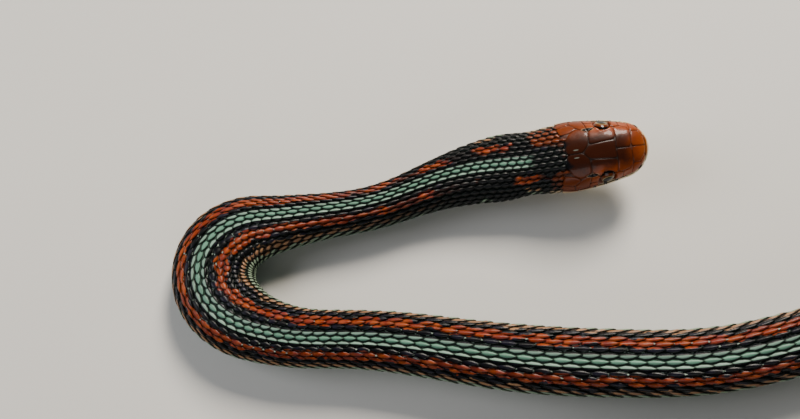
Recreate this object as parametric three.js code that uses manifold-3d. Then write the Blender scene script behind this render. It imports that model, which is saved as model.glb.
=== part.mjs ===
// A garter snake at life size, lying belly down in loose folds with its head a little raised.
// Millimetres, +Z up. The floor is z = 0 and the origin is under the middle of the folds.
import * as THREE from 'three';
import { mergeVertices } from 'three/addons/utils/BufferGeometryUtils.js';
import Module from 'manifold-3d';

const wasm = await Module();
wasm.setup();

// Lengths measured along the back, from the tip of the snout
const TOTAL_LENGTH = 500;
const HEAD_LENGTH = 16;
const VENT_AT = 380;
const NODE_GAP = 0.3;

// The snout's place on the floor plan, and the way the body runs back from it, in degrees from +X
const SNOUT = { x: -2.48, y: 39.66 };
const HEAD_RUNS = 186.7;

// The bends of the body: where each starts and ends, and its turn in degrees, left positive
const BENDS = [
  [16, 34, 14.9], [33, 44, -13.0], [44, 60, 6.9], [52, 74, 140.0], [70, 84, 23.4],
  [82, 98, -7.3], [98, 122, 7.2], [122, 146, 15.4], [147, 204, -200.0], [212, 244, 22.0],
  [250, 286, -24.0], [292, 338, 196.0], [346, 380, -26.0], [388, 428, 38.0], [436, 486, -46.0],
];

// Body sizes: place along the back, width, height, level of the widest part as a share of the
// height, and squareness of the section, where 2 is an ellipse
const SIZES = [
  [0, 6.4, 4.4, 0.42, 2.2],
  [3, 7.5, 5.1, 0.38, 2.15],
  [6, 8.6, 5.9, 0.36, 2.1],
  [9, 9.3, 6.3, 0.37, 2.1],
  [12, 9.4, 6.3, 0.40, 2.1],
  [16, 8.7, 6.0, 0.44, 2.15],
  [20, 9.2, 5.8, 0.44, 2.1],
  [24, 8.4, 5.6, 0.45, 2.1],
  [30, 6.9, 5.5, 0.46, 2.1],
  [35, 6.1, 5.5, 0.47, 2.1],
  [44, 6.1, 5.7, 0.47, 2.1],
  [51, 7.6, 6.0, 0.46, 2.1],
  [57, 9.3, 6.2, 0.45, 2.1],
  [63, 10.3, 6.3, 0.45, 2.1],
  [69, 9.5, 6.5, 0.45, 2.1],
  [76, 8.0, 6.8, 0.46, 2.1],
  [82, 7.6, 7.0, 0.46, 2.1],
  [96, 8.3, 7.3, 0.46, 2.1],
  [112, 9.0, 7.6, 0.46, 2.1],
  [146, 8.6, 7.8, 0.46, 2.1],
  [180, 9.4, 8.0, 0.46, 2.1],
  [230, 9.6, 8.2, 0.46, 2.1],
  [300, 8.9, 7.7, 0.46, 2.1],
  [350, 7.4, 6.6, 0.46, 2.1],
  [380, 6.2, 5.6, 0.46, 2.1],
  [440, 3.7, 3.5, 0.47, 2.05],
  [500, 1.3, 1.3, 0.5, 2],
];
const WIDTH = 1;
const HEIGHT = 2;
const WAIST = 3;
const SQUARENESS = 4;

// The snout and the tail's tip are rounded over these lengths, by a power where 2 is an ellipse,
// down to a share of their height; the tail stops just short of its very tip
const SNOUT_ROUND = 3.4;
const TAIL_ROUND = 1.2;
const ROUND_POWER = 2.3;
const END_HEIGHT = 0.25;
const TAIL_STOP = 0.02;

// The neck rises off the floor in front of this place, to carry the head
const RISE_FROM = 40;
const RISE = 5;

// In the first bend the flank on the outer side swells by this much: where it starts, is full from
// and has gone
const FLANK = { swell: 1.2, from: 50, full: 61, to: 88 };

// The head is rolled to its left by this angle, about a level above the chin, and the neck takes
// the roll up by this place
const HEAD_ROLL = 12;
const ROLL_LEVEL = 2.8;
const ROLL_ENDS = 30;

// The belly is rounder than its height by this share, so that it ends in a flat
const BELLY_ROUND = 1.12;

// The belly scutes: the angle from the back where they end, the depth of the groove in front of
// each, the share of a scute that slopes up from it, the length of the step back down, and the
// half width that the body needs for grooves of full depth
const SCUTE_EDGE = 124;
const SCUTE_RAISED = 0.28;
const SCUTE_SLOPE = 0.34;
const SCUTE_STEP = 0.05;
const FULL_GROOVE_HALF = 2;
const SCUTE_LENGTH = { belly: 4.8, tail: 4.4 };

// The mouth: height of its line above the chin, from the snout back to its corner
const MOUTH = [[-1, 1.5], [3, 1.75], [6, 2.0], [9, 2.05], [11, 2.35], [12.8, 3.0]];
const JAW_SET_BACK = 0.7;

// Eyes and nostrils, with the nostril's turn towards the snout in radians
const EYE = { radius: 1.5, along: 6.3, out: 2.6, up: 3.8, segments: 18 };
const NOSTRIL = { radius: 0.28, along: 1.45, up: 2.95, depth: 1.2, turn: 0.5, sides: 8 };

// How finely the head is made: points round it, rings in the snout and rings behind it
const HEAD_SIDES = 26;
const SNOUT_RINGS = 8;
const HEAD_RINGS = 10;

// Shields stand out by one of these heights, are sunk by the other, and are carried no nearer to
// the rim of the head's outline than the last share
const SHIELD_RAISED = 0.14;
const SHIELD_SUNK = 0.5;
const RIM_SHARE = 0.98;

// Head shields of one side, seen from above: [mm from the snout, mm from the middle line]
const CROWN_SHIELDS = {
  internasal: [[1.0, 0.07], [1.15, 1.3], [2.0, 1.95], [2.75, 1.5], [2.8, 0.07]],
  prefrontal: [[2.95, 0.07], [2.9, 1.55], [2.5, 2.2], [3.4, 2.75], [4.5, 2.3], [4.85, 0.07]],
  supraocular: [[4.8, 1.45], [4.75, 2.4], [5.8, 2.95], [7.2, 3.0], [8.4, 2.5], [8.45, 1.2]],
  parietal: [[9.45, 0.07], [8.65, 1.1], [8.6, 2.8], [10.2, 3.3], [12.1, 2.3], [12.4, 0.9], [11.9, 0.07]],
};
const FRONTAL = [[5.0, -1.3], [8.5, -1.0], [9.3, 0], [8.5, 1.0], [5.0, 1.3]];
const ROSTRAL = [[0.3, -0.8], [0.9, -1.0], [0.9, 1.0], [0.3, 0.8]];

// Shields of the cheek, seen from the side: [mm from the snout, mm above the line of the mouth]
const CHEEK_SHIELDS = {
  nasal: [[1.15, 1.55], [2.6, 1.55], [2.75, 2.3], [1.7, 2.3]],
  loreal: [[2.75, 1.55], [3.95, 1.55], [3.95, 2.3], [2.9, 2.35]],
  preocular: [[4.1, 1.55], [4.65, 1.55], [4.75, 2.7], [4.1, 2.45]],
  lowerPostocular: [[8.1, 1.5], [8.75, 1.5], [8.75, 2.1], [8.15, 2.0]],
  upperPostocular: [[8.15, 2.15], [8.75, 2.2], [8.55, 2.9], [8.1, 2.65]],
  frontTemporal: [[8.9, 1.5], [10.5, 1.4], [10.6, 2.3], [8.9, 2.35]],
  backTemporal: [[10.65, 1.4], [12.1, 1.25], [12.2, 2.1], [10.75, 2.3]],
};

// Chin shields of one side, seen from below: [mm from the snout, mm from the middle line]
const CHIN_SHIELDS = {
  front: [[3.0, 0.1], [3.3, 1.1], [5.6, 1.5], [6.2, 0.1]],
  back: [[6.4, 0.1], [5.8, 1.5], [7.6, 1.9], [9.4, 1.5], [8.4, 0.3]],
};

// Lip shields: how many on each side above and below, where they run, and their height
const UPPER_LIP = { count: 7, from: 1.5, to: 12.2, low: 0.25, high: 1.4, raised: 0.14 };
const LOWER_LIP = { count: 8, from: 1.9, to: 12.0, low: -1.15, high: -0.35, raised: 0.1 };
const LIP_GAP = 0.14;

// The lengths that the body is named by: name and where each ends
const LENGTHS = [
  ['neck', 36],
  ['body_1', 54], ['body_2', 60], ['body_3', 66], ['body_4', 73], ['body_5', 108],
  ['body_6', 147], ['body_7', 166], ['body_8', 185], ['body_9', 205], ['body_10', 248],
  ['body_11', 292], ['body_12', 307], ['body_13', 322], ['body_14', 338], ['body_15', VENT_AT],
  ['tail_1', 420], ['tail_2', 460], ['tail_3', TOTAL_LENGTH],
];

const LOOKS = {
  head: { color: 0x9a4420, roughness: 0.4 },
  lower_jaw: { color: 0xc9a183, roughness: 0.5 },
  eye: { color: 0x14100e, roughness: 0.1 },
  neck: { color: 0x2a2420, roughness: 0.55 },
  body: { color: 0x55685a, roughness: 0.55 },
  tail: { color: 0x5f7364, roughness: 0.55 },
};

// Smooth reading of a table of rows whose first number is the place, by cubic pieces
function readTable(rows, place, column) {
  const last = rows.length - 1;
  const at = Math.min(Math.max(place, rows[0][0]), rows[last][0]);
  let i = 0;
  while (i < last - 1 && at > rows[i + 1][0]) i += 1;
  const slope = (k) => {
    const a = rows[Math.max(k - 1, 0)];
    const b = rows[Math.min(k + 1, last)];
    return (b[column] - a[column]) / (b[0] - a[0]);
  };
  const span = rows[i + 1][0] - rows[i][0];
  const t = (at - rows[i][0]) / span;
  const from = rows[i][column];
  const to = rows[i + 1][column];
  const curve = (2 * t - 3) * t * t;
  return from * (1 + curve) - to * curve
    + span * t * (1 - t) * (slope(i) * (1 - t) - slope(i + 1) * t);
}

function smooth(t) {
  const x = Math.min(Math.max(t, 0), 1);
  return x * x * (3 - 2 * x);
}

// The direction of the body at a place, in radians, and its line on the floor plan
function heading(place) {
  let degrees = HEAD_RUNS;
  for (const [from, to, turn] of BENDS) degrees += turn * smooth((place - from) / (to - from));
  return THREE.MathUtils.degToRad(degrees);
}

const LINE_STEP = 0.25;
const LINE = [{ x: SNOUT.x, y: SNOUT.y }];
for (let i = 0; i < TOTAL_LENGTH / LINE_STEP; i += 1) {
  const way = heading((i + 0.5) * LINE_STEP);
  LINE.push({
    x: LINE[i].x + Math.cos(way) * LINE_STEP,
    y: LINE[i].y + Math.sin(way) * LINE_STEP,
  });
}

// How far the belly is off the floor: nothing along the body, rising along the neck, then straight
function lift(place) {
  const at = Math.max(place, HEAD_LENGTH);
  if (at >= RISE_FROM) return 0;
  const share = 1 - at / RISE_FROM;
  const slope = -2 * RISE * share / RISE_FROM;
  return RISE * share * share + slope * (place - at);
}

// How far the section at a place is rolled to the left, in radians
function roll(place) {
  const gone = smooth((place - HEAD_LENGTH) / (ROLL_ENDS - HEAD_LENGTH));
  return THREE.MathUtils.degToRad(HEAD_ROLL) * (1 - gone);
}

// A point of the body: its place along the back, its distance to the left and its height
function place3d(place, toLeft, height) {
  const turn = roll(place);
  const over = height - ROLL_LEVEL;
  const across = toLeft * Math.cos(turn) + over * Math.sin(turn);
  const up = ROLL_LEVEL + over * Math.cos(turn) - toLeft * Math.sin(turn);
  const cell = Math.min(Math.max(place, 0), TOTAL_LENGTH) / LINE_STEP;
  const i = Math.min(Math.floor(cell), LINE.length - 2);
  const t = cell - i;
  const way = heading(place);
  const before = place - Math.min(Math.max(place, 0), TOTAL_LENGTH);
  return new THREE.Vector3(
    THREE.MathUtils.lerp(LINE[i].x, LINE[i + 1].x, t) + Math.cos(way) * before - Math.sin(way) * across,
    THREE.MathUtils.lerp(LINE[i].y, LINE[i + 1].y, t) + Math.sin(way) * before + Math.cos(way) * across,
    lift(place) + up,
  );
}

// How much of its full size the body has near its two round ends
function roundedShare(place) {
  const front = Math.min(Math.max(place / SNOUT_ROUND, 0), 1);
  const back = Math.min(Math.max((TOTAL_LENGTH - place) / TAIL_ROUND, 0), 1);
  const end = Math.min(front, back);
  return (1 - (1 - end) ** ROUND_POWER) ** (1 / ROUND_POWER);
}

// How much wider the section is on its right at a place
function swell(place) {
  return FLANK.swell * smooth((place - FLANK.from) / (FLANK.full - FLANK.from))
    * smooth((FLANK.to - place) / (FLANK.to - FLANK.full));
}

// The sizes of the section at a place: half width, and the levels of its top, waist and bottom
function sectionSizes(place) {
  const share = roundedShare(place);
  const height = readTable(SIZES, place, HEIGHT);
  const waist = height * readTable(SIZES, place, WAIST);
  const flatter = END_HEIGHT + (1 - END_HEIGHT) * share;
  return {
    half: readTable(SIZES, place, WIDTH) / 2 * share,
    swell: swell(place),
    waist,
    top: waist + (height - waist) * flatter,
    bottom: waist * (1 - flatter),
    square: readTable(SIZES, place, SQUARENESS),
  };
}

// A point of the section at an angle from the middle of the back, as [across, up]
function sectionPoint(sizes, degrees) {
  const angle = THREE.MathUtils.degToRad(degrees);
  const bend = (value) => Math.sign(value) * Math.abs(value) ** (2 / sizes.square);
  const above = sizes.top - sizes.waist;
  const below = (sizes.waist - sizes.bottom) * BELLY_ROUND;
  const rise = bend(Math.cos(angle));
  const up = sizes.waist + (rise > 0 ? above : below) * rise;
  const side = bend(Math.sin(angle));
  return [(sizes.half + (side < 0 ? sizes.swell : 0)) * side, Math.max(up, sizes.bottom)];
}

// A closed mesh from corner points and faces, its faces turned outwards
function closedGeometry(points, faces) {
  let volume = 0;
  for (const [a, b, c] of faces) volume += points[a].dot(points[b].clone().cross(points[c]));
  const outward = volume > 0 ? faces : faces.map(([a, b, c]) => [a, c, b]);
  const geometry = new THREE.BufferGeometry();
  geometry.setAttribute('position', new THREE.Float32BufferAttribute(points.flatMap((p) => p.toArray()), 3));
  geometry.setIndex(outward.flat());
  return geometry;
}

// Rings of points joined side to side, with a fan on a middle point at each end
function loft(rings) {
  const count = rings[0].length;
  const points = rings.flat();
  const faces = [];
  for (let r = 0; r < rings.length - 1; r += 1) {
    for (let i = 0; i < count; i += 1) {
      const a = r * count + i;
      const b = r * count + (i + 1) % count;
      faces.push([a, b, b + count], [a, b + count, a + count]);
    }
  }
  for (const [ring, last] of [[0, false], [rings.length - 1, true]]) {
    const middle = new THREE.Vector3();
    for (const p of rings[ring]) middle.addScaledVector(p, 1 / count);
    const centre = points.push(middle) - 1;
    for (let i = 0; i < count; i += 1) {
      const a = ring * count + i;
      const b = ring * count + (i + 1) % count;
      faces.push(last ? [a, b, centre] : [b, a, centre]);
    }
  }
  return closedGeometry(points, faces);
}

// Angles round the section: the back and sides, then the belly with its flat
const BACK_ANGLES = [-104, -80, -58, -38, -19, 0, 19, 38, 58, 80, 104];
const BELLY_ANGLES = [SCUTE_EDGE, 138, 154, -154, -138, -SCUTE_EDGE];

// One ring of the body, with the belly drawn in by the depth that a groove between scutes has
function bodyRing(place, groove) {
  const sizes = sectionSizes(place);
  const share = Math.min(1, sizes.half / FULL_GROOVE_HALF);
  const back = BACK_ANGLES.map((angle) => sectionPoint(sizes, angle));
  const belly = BELLY_ANGLES.map((angle) => {
    const [across, up] = sectionPoint(sizes, angle);
    const inward = groove * share / Math.hypot(across, up - sizes.waist);
    return [across * (1 - inward), up + (sizes.waist - up) * inward];
  });
  return [...back, ...belly].map(([across, up]) => place3d(place, across, up));
}

// A length of the body from ring to ring, with its row of belly scutes
function bodyLength(from, to, scuteLength) {
  const count = Math.max(2, Math.round((to - from) / scuteLength));
  const step = (to - from) / count;
  const rings = [];
  for (let i = 0; i < count; i += 1) {
    const start = from + i * step;
    rings.push(bodyRing(start, SCUTE_RAISED));
    rings.push(bodyRing(start + step * SCUTE_SLOPE, 0));
    rings.push(bodyRing(start + step - (i < count - 1 ? SCUTE_STEP : 0), 0));
  }
  return loft(rings);
}

// A geometry as a solid that can be joined and cut, its equal corners made one
const SAME_POINT = 1e-4;

function toSolid(geometry) {
  const bare = geometry.clone();
  bare.deleteAttribute('normal');
  bare.deleteAttribute('uv');
  const merged = mergeVertices(bare, SAME_POINT);
  return new wasm.Manifold(new wasm.Mesh({
    numProp: 3,
    vertProperties: new Float32Array(merged.attributes.position.array),
    triVerts: new Uint32Array(merged.index.array),
  }));
}

// The largest closed surface of a solid, as a geometry
function toGeometry(solid) {
  const pieces = solid.decompose().sort((a, b) => b.volume() - a.volume());
  const mesh = pieces[0].getMesh();
  const geometry = new THREE.BufferGeometry();
  geometry.setAttribute('position', new THREE.BufferAttribute(new Float32Array(mesh.vertProperties), 3));
  geometry.setIndex(new THREE.BufferAttribute(new Uint32Array(mesh.triVerts), 1));
  return geometry;
}

// The surface of the head: its height over a point of the plan, and its half width at a height
function crownHeight(along, across) {
  const sizes = sectionSizes(along);
  const share = Math.min(Math.abs(across) / sizes.half, RIM_SHARE);
  return sizes.waist + (sizes.top - sizes.waist) * (1 - share ** sizes.square) ** (1 / sizes.square);
}

function cheekWidth(along, up) {
  const sizes = sectionSizes(along);
  const reach = up > sizes.waist ? sizes.top - sizes.waist : (sizes.waist - sizes.bottom) * BELLY_ROUND;
  const share = Math.min(Math.abs(up - sizes.waist) / reach, RIM_SHARE);
  return sizes.half * (1 - share ** sizes.square) ** (1 / sizes.square);
}

// A shield: an outline with a middle point, carried on two levels of the head's surface
function shield(outer, inner) {
  const count = outer.length - 1;
  const points = [...outer, ...inner];
  const faces = [];
  for (let i = 0; i < count; i += 1) {
    const next = (i + 1) % count;
    const below = count + 1;
    faces.push([i, next, count], [below + next, below + i, below + count]);
    faces.push([i, below + i, below + next], [i, below + next, next]);
  }
  return closedGeometry(points, faces);
}

function withMiddle(outline) {
  const sum = outline.reduce(([a, b], [x, y]) => [a + x, b + y], [0, 0]);
  return [...outline, [sum[0] / outline.length, sum[1] / outline.length]];
}

function crownShield(outline, side) {
  const onLevel = (level) => withMiddle(outline).map(([along, across]) => (
    place3d(along, across * side, crownHeight(along, across) + level)));
  return toSolid(shield(onLevel(SHIELD_RAISED), onLevel(-SHIELD_SUNK)));
}

function cheekShield(outline, side, raised) {
  const onLevel = (level) => withMiddle(outline).map(([along, fromMouth]) => {
    const up = readTable(MOUTH, along, 1) + fromMouth;
    return place3d(along, (cheekWidth(along, up) + level) * side, up);
  });
  return toSolid(shield(onLevel(raised), onLevel(-SHIELD_SUNK)));
}

function chinShield(outline, side) {
  const onLevel = (level) => withMiddle(outline).map(([along, across]) => (
    place3d(along, across * side, sectionSizes(along).bottom + level)));
  return toSolid(shield(onLevel(-SHIELD_RAISED), onLevel(SHIELD_SUNK)));
}

// A row of lip shields on one side, set above or below the line of the mouth
function lipShields(lip, side) {
  const pitch = (lip.to - lip.from) / lip.count;
  return Array.from({ length: lip.count }, (_, i) => {
    const front = lip.from + i * pitch;
    const back = front + pitch - LIP_GAP;
    const corners = [[front, lip.low], [back, lip.low], [back, lip.high], [front, lip.high]];
    return cheekShield(corners, side, lip.raised);
  });
}

// The whole head before it is parted: a plain form from the snout to the nape
function headForm() {
  const rings = [];
  for (let i = 0; i < SNOUT_RINGS; i += 1) {
    const turn = (i + 0.5) / SNOUT_RINGS * Math.PI / 2;
    rings.push(SNOUT_ROUND * (1 - Math.cos(turn)));
  }
  const back = HEAD_LENGTH - NODE_GAP / 2;
  for (let i = 0; i <= HEAD_RINGS; i += 1) {
    rings.push(THREE.MathUtils.lerp(SNOUT_ROUND, back, i / HEAD_RINGS));
  }
  const angles = Array.from({ length: HEAD_SIDES }, (_, i) => i * 360 / HEAD_SIDES - 180);
  return toSolid(loft(rings.map((along) => {
    const sizes = sectionSizes(along);
    return angles.map((angle) => place3d(along, ...sectionPoint(sizes, angle)));
  })));
}

// A block wider than the head, whose side outline is given as [mm from the snout, height]
function headBlock(outline) {
  const reach = HEAD_LENGTH / 2;
  const shape = new THREE.Shape(outline.map(([along, up]) => new THREE.Vector2(along, up)));
  const block = new THREE.ExtrudeGeometry(shape, { depth: 2 * reach, bevelEnabled: false });
  const position = block.attributes.position;
  for (let i = 0; i < position.count; i += 1) {
    const across = position.getZ(i) - reach;
    const point = place3d(position.getX(i), -across, position.getY(i));
    position.setXYZ(i, point.x, point.y, point.z);
  }
  return toSolid(block);
}

// The outline of what lies under the mouth's line, moved down by a gap and ended behind its corner
function underMouth(gap, front, back) {
  const steps = 14;
  const depth = 3;
  const corner = MOUTH[MOUTH.length - 1][0] + back;
  const line = Array.from({ length: steps + 1 }, (_, i) => {
    const along = THREE.MathUtils.lerp(front, corner, i / steps);
    return [along, readTable(MOUTH, along, 1) - gap];
  });
  return [...line, [corner, -depth], [front, -depth]];
}

function eyeAt(side, radius) {
  const ball = new THREE.SphereGeometry(radius, EYE.segments, EYE.segments * 2 / 3);
  const centre = place3d(EYE.along, EYE.out * side, EYE.up);
  ball.rotateX(Math.PI / 2);
  return ball.translate(centre.x, centre.y, centre.z);
}

function nostrilAt(side) {
  const { radius, depth, sides } = NOSTRIL;
  const hole = new THREE.CylinderGeometry(radius, radius, depth * 2, sides);
  hole.rotateZ(side * NOSTRIL.turn);
  const centre = place3d(NOSTRIL.along, cheekWidth(NOSTRIL.along, NOSTRIL.up) * side, NOSTRIL.up);
  hole.rotateZ(heading(0));
  return toSolid(hole.translate(centre.x, centre.y, centre.z));
}

function headParts() {
  let whole = headForm();
  const shields = [crownShield(FRONTAL, 1), crownShield(ROSTRAL, 1)];
  for (const side of [-1, 1]) {
    for (const outline of Object.values(CROWN_SHIELDS)) shields.push(crownShield(outline, side));
    for (const outline of Object.values(CHEEK_SHIELDS)) {
      shields.push(cheekShield(outline, side, SHIELD_RAISED));
    }
    for (const outline of Object.values(CHIN_SHIELDS)) shields.push(chinShield(outline, side));
    shields.push(...lipShields(UPPER_LIP, side), ...lipShields(LOWER_LIP, side));
  }
  for (const piece of shields) whole = whole.add(piece);

  let head = whole.subtract(headBlock(underMouth(0, -HEAD_LENGTH / 8, NODE_GAP)));
  const jaw = whole.intersect(headBlock(underMouth(NODE_GAP, JAW_SET_BACK, 0)));
  for (const side of [-1, 1]) {
    head = head.subtract(toSolid(eyeAt(side, EYE.radius + NODE_GAP)));
    head = head.subtract(nostrilAt(side));
  }
  return { head: toGeometry(head), lower_jaw: toGeometry(jaw) };
}

const snake = new THREE.Group();

function addNode(name, geometry, look) {
  const material = new THREE.MeshStandardMaterial({ ...look, metalness: 0 });
  const mesh = new THREE.Mesh(geometry, material);
  mesh.name = name;
  snake.add(mesh);
}

const { head, lower_jaw: lowerJaw } = headParts();
addNode('head', head, LOOKS.head);
addNode('lower_jaw', lowerJaw, LOOKS.lower_jaw);
addNode('eye_left', eyeAt(1, EYE.radius), LOOKS.eye);
addNode('eye_right', eyeAt(-1, EYE.radius), LOOKS.eye);

let start = HEAD_LENGTH;
for (const [name, end] of LENGTHS) {
  const region = name.split('_')[0];
  const stop = end === TOTAL_LENGTH ? end - TAIL_STOP : end - NODE_GAP / 2;
  const scuteLength = region === 'tail' ? SCUTE_LENGTH.tail : SCUTE_LENGTH.belly;
  addNode(name, bodyLength(start + NODE_GAP / 2, stop, scuteLength), LOOKS[region]);
  start = end;
}

export default snake;
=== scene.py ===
"""A garter snake at life size, dressed with its skin, scales, shields and eyes.

The body is one long form: a line on the floor, with an upright section at each place along it.
Every piece is laid on that form. Places and sizes in the tables are millimetres, and one function
turns points to metres.
"""

import math

import bpy
import numpy as np
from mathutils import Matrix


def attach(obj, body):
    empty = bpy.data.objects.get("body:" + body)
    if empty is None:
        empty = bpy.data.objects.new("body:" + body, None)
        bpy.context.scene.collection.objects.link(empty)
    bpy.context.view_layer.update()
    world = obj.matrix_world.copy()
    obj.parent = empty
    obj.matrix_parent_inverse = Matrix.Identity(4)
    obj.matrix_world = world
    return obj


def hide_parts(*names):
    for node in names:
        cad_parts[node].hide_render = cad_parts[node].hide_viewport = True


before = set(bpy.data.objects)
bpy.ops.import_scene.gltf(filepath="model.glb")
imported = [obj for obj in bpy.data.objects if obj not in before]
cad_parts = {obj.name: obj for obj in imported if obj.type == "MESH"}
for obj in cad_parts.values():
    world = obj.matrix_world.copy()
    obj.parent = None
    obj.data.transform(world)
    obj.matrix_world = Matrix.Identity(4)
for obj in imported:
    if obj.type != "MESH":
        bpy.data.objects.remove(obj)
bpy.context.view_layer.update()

bl_info = {
    "name": "Garter snake",
    "version": (1, 0, 0),
    "blender": (4, 5, 0),
    "location": "3D View > Sidebar > Snake",
    "description": "Skin, scales, head shields and eyes of a garter snake at life size",
    "category": "Object",
}

MM = 0.001

# The body's line and sizes, the same as in its solids
TOTAL_LENGTH = 500.0
HEAD_LENGTH = 16.0
VENT_AT = 380.0
SNOUT = (-2.48, 39.66)
HEAD_RUNS = 186.7

# Bends: where each starts and ends along the back, and its turn in degrees, left positive
BENDS = [
    (16, 34, 14.9), (33, 44, -13.0), (44, 60, 6.9), (52, 74, 140.0), (70, 84, 23.4),
    (82, 98, -7.3), (98, 122, 7.2), (122, 146, 15.4), (147, 204, -200.0), (212, 244, 22.0),
    (250, 286, -24.0), (292, 338, 196.0), (346, 380, -26.0), (388, 428, 38.0), (436, 486, -46.0),
]

# Place along the back, width, height, level of the widest part as a share of the height,
# and squareness of the section, where 2 is an ellipse
SIZES = [
    (0, 6.4, 4.4, 0.42, 2.2), (3, 7.5, 5.1, 0.38, 2.15), (6, 8.6, 5.9, 0.36, 2.1),
    (9, 9.3, 6.3, 0.37, 2.1), (12, 9.4, 6.3, 0.40, 2.1), (16, 8.7, 6.0, 0.44, 2.15),
    (20, 9.2, 5.8, 0.44, 2.1), (24, 8.4, 5.6, 0.45, 2.1), (30, 6.9, 5.5, 0.46, 2.1),
    (35, 6.1, 5.5, 0.47, 2.1), (44, 6.1, 5.7, 0.47, 2.1), (51, 7.6, 6.0, 0.46, 2.1),
    (57, 9.3, 6.2, 0.45, 2.1), (63, 10.3, 6.3, 0.45, 2.1), (69, 9.5, 6.5, 0.45, 2.1),
    (76, 8.0, 6.8, 0.46, 2.1), (82, 7.6, 7.0, 0.46, 2.1), (96, 8.3, 7.3, 0.46, 2.1),
    (112, 9.0, 7.6, 0.46, 2.1), (146, 8.6, 7.8, 0.46, 2.1), (180, 9.4, 8.0, 0.46, 2.1),
    (230, 9.6, 8.2, 0.46, 2.1), (300, 8.9, 7.7, 0.46, 2.1), (350, 7.4, 6.6, 0.46, 2.1),
    (380, 6.2, 5.6, 0.46, 2.1), (440, 3.7, 3.5, 0.47, 2.05), (500, 1.3, 1.3, 0.5, 2.0),
]
WIDTH, HEIGHT, WAIST, SQUARENESS = 1, 2, 3, 4

SNOUT_ROUND = 3.4
TAIL_ROUND = 1.2
ROUND_POWER = 2.3
END_HEIGHT = 0.25
RISE_FROM = 40.0
RISE = 5.0

# The outer flank's swelling in the first bend: how much, and where it starts, is full and has gone
FLANK = {"swell": 1.2, "from": 50, "full": 61, "to": 88}

# The head's roll to its left in degrees, the level it turns about, and where the neck has taken it up
HEAD_ROLL = 12.0
ROLL_LEVEL = 2.8
ROLL_ENDS = 30.0
BELLY_ROUND = 1.12
BELLY_EDGE = 124.0

# The mouth's line above the chin, from the snout back to its corner, and how far the jaw is set back
MOUTH = [(-1, 1.5), (3, 1.75), (6, 2.0), (9, 2.05), (11, 2.35), (12.8, 3.0)]
MOUTH_CORNER = 12.8
JAW_SET_BACK = 0.7
JAW_SET_BACK_ENDS = 8.0

# The mouth's groove: depth and reach; the lip's roll: height, level above the mouth's line and
# reach; how far the jaw is let in under the lip, and the levels where that starts, is full, ends
# and has gone; and how far before its corner the mouth starts to fade, and over what length
GROOVE = (0.20, 0.10)
LIP_ROLL = (0.05, 0.35, 0.22)
JAW_INSET = 0.10
JAW_LEVELS = (0.1, -0.1, -0.8, -1.6)
MOUTH_FADE = (0.6, 0.9)

# The head's hills and hollows: rise, place and reach along the head, then "out" for a distance
# from the middle line or "level" for one above the mouth's line, its middle and reach, and the
# level above which the form is there
HEAD_FORMS = [
    (0.26, 6.2, 1.7, "out", 3.15, 0.5, 1.2),
    (-0.12, 3.4, 0.9, "level", 1.75, 0.5, -9.0),
    (0.12, 10.6, 1.6, "level", 1.6, 1.1, -9.0),
    (-0.07, 7.0, 1.8, "out", 0.0, 0.9, 2.0),
]

# The eye's middle: mm from the snout, from the middle line and above the chin; and its look
EYE = {"along": 6.3, "out": 2.6, "up": 3.8, "radius": 1.5, "opening": 1.2}
EYE_LOOKS = (-0.14, 0.95, 0.28)
EYE_EDGE = 0.12
EYE_SOCKET = 1.0
NOSTRIL = {"along": 1.45, "up": 2.95, "radius": 0.24, "depth": 0.5}

# How far the back's middle is turned towards the outer side of the bends, in degrees
ROLL = [
    (0, 0), (16, 0), (25, 4), (34, 7), (50, 8), (56, 14), (60, 19), (63, 21), (66, 20), (70, 16),
    (76, 11), (84, 7), (92, 5.5), (140, 4.5),
    (160, -4), (190, -6), (215, 0), (290, 0), (315, 7), (345, 0), (500, 0),
]

# Scale spacing along the back: short on the neck and in the first bend, then longer
SPACING = [
    (0, 1.1), (16, 1.12), (24, 1.3), (33, 1.65), (42, 1.75), (50, 1.5), (57, 1.2), (66, 1.15),
    (73, 1.25), (80, 1.5), (90, 1.9), (104, 2.3), (116, 2.42), (300, 2.42), (380, 2.0), (440, 1.5),
    (500, 0.9),
]

# Widths of the scale rows, from the middle of the back down to the belly, against one another
ROW_WIDTHS = np.array([0.95, 0.95, 0.95, 0.95, 0.97, 1.02, 1.1, 1.2, 1.35, 1.55])
LAST_ROW = 9.5
BELLY_ROW = 12.5

# Rows that run out: which one, counted down from the middle, where, and over what length
ROW_ENDS = [(6, 236, 9), (7, 388, 8), (5, 400, 8), (8, 416, 9), (4, 436, 9), (3, 458, 9), (2, 480, 8)]

# Where the head shields end, row by row; the first scales are tucked under their edge
SHIELDS_END = [
    (0, 11.25), (1.6, 11.65), (2.3, 11.4), (3.05, 11.0), (3.4, 11.9), (4, 12.1), (8.4, 12.1),
    (9, 8.0), (9.4, 8.2), (10.2, 9.4), (12.5, 8.6),
]
UNDER_SHIELDS = 1.3

# The first belly scute, and where the single scutes give way to pairs
BELLY_STARTS = 16.2
PAIRS_START = VENT_AT + 2.5

# The step in mm at which scales are counted, and the seed of all that differs from scale to scale
FINE_STEP = 0.1
SEED = 11


def linear(hex_colour):
    """An sRGB hex colour as linear red, green and blue."""
    parts = [int(hex_colour[i:i + 2], 16) / 255 for i in (1, 3, 5)]
    return tuple(p / 12.92 if p <= 0.04045 else ((p + 0.055) / 1.055) ** 2.4 for p in parts)


# The body's form


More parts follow.
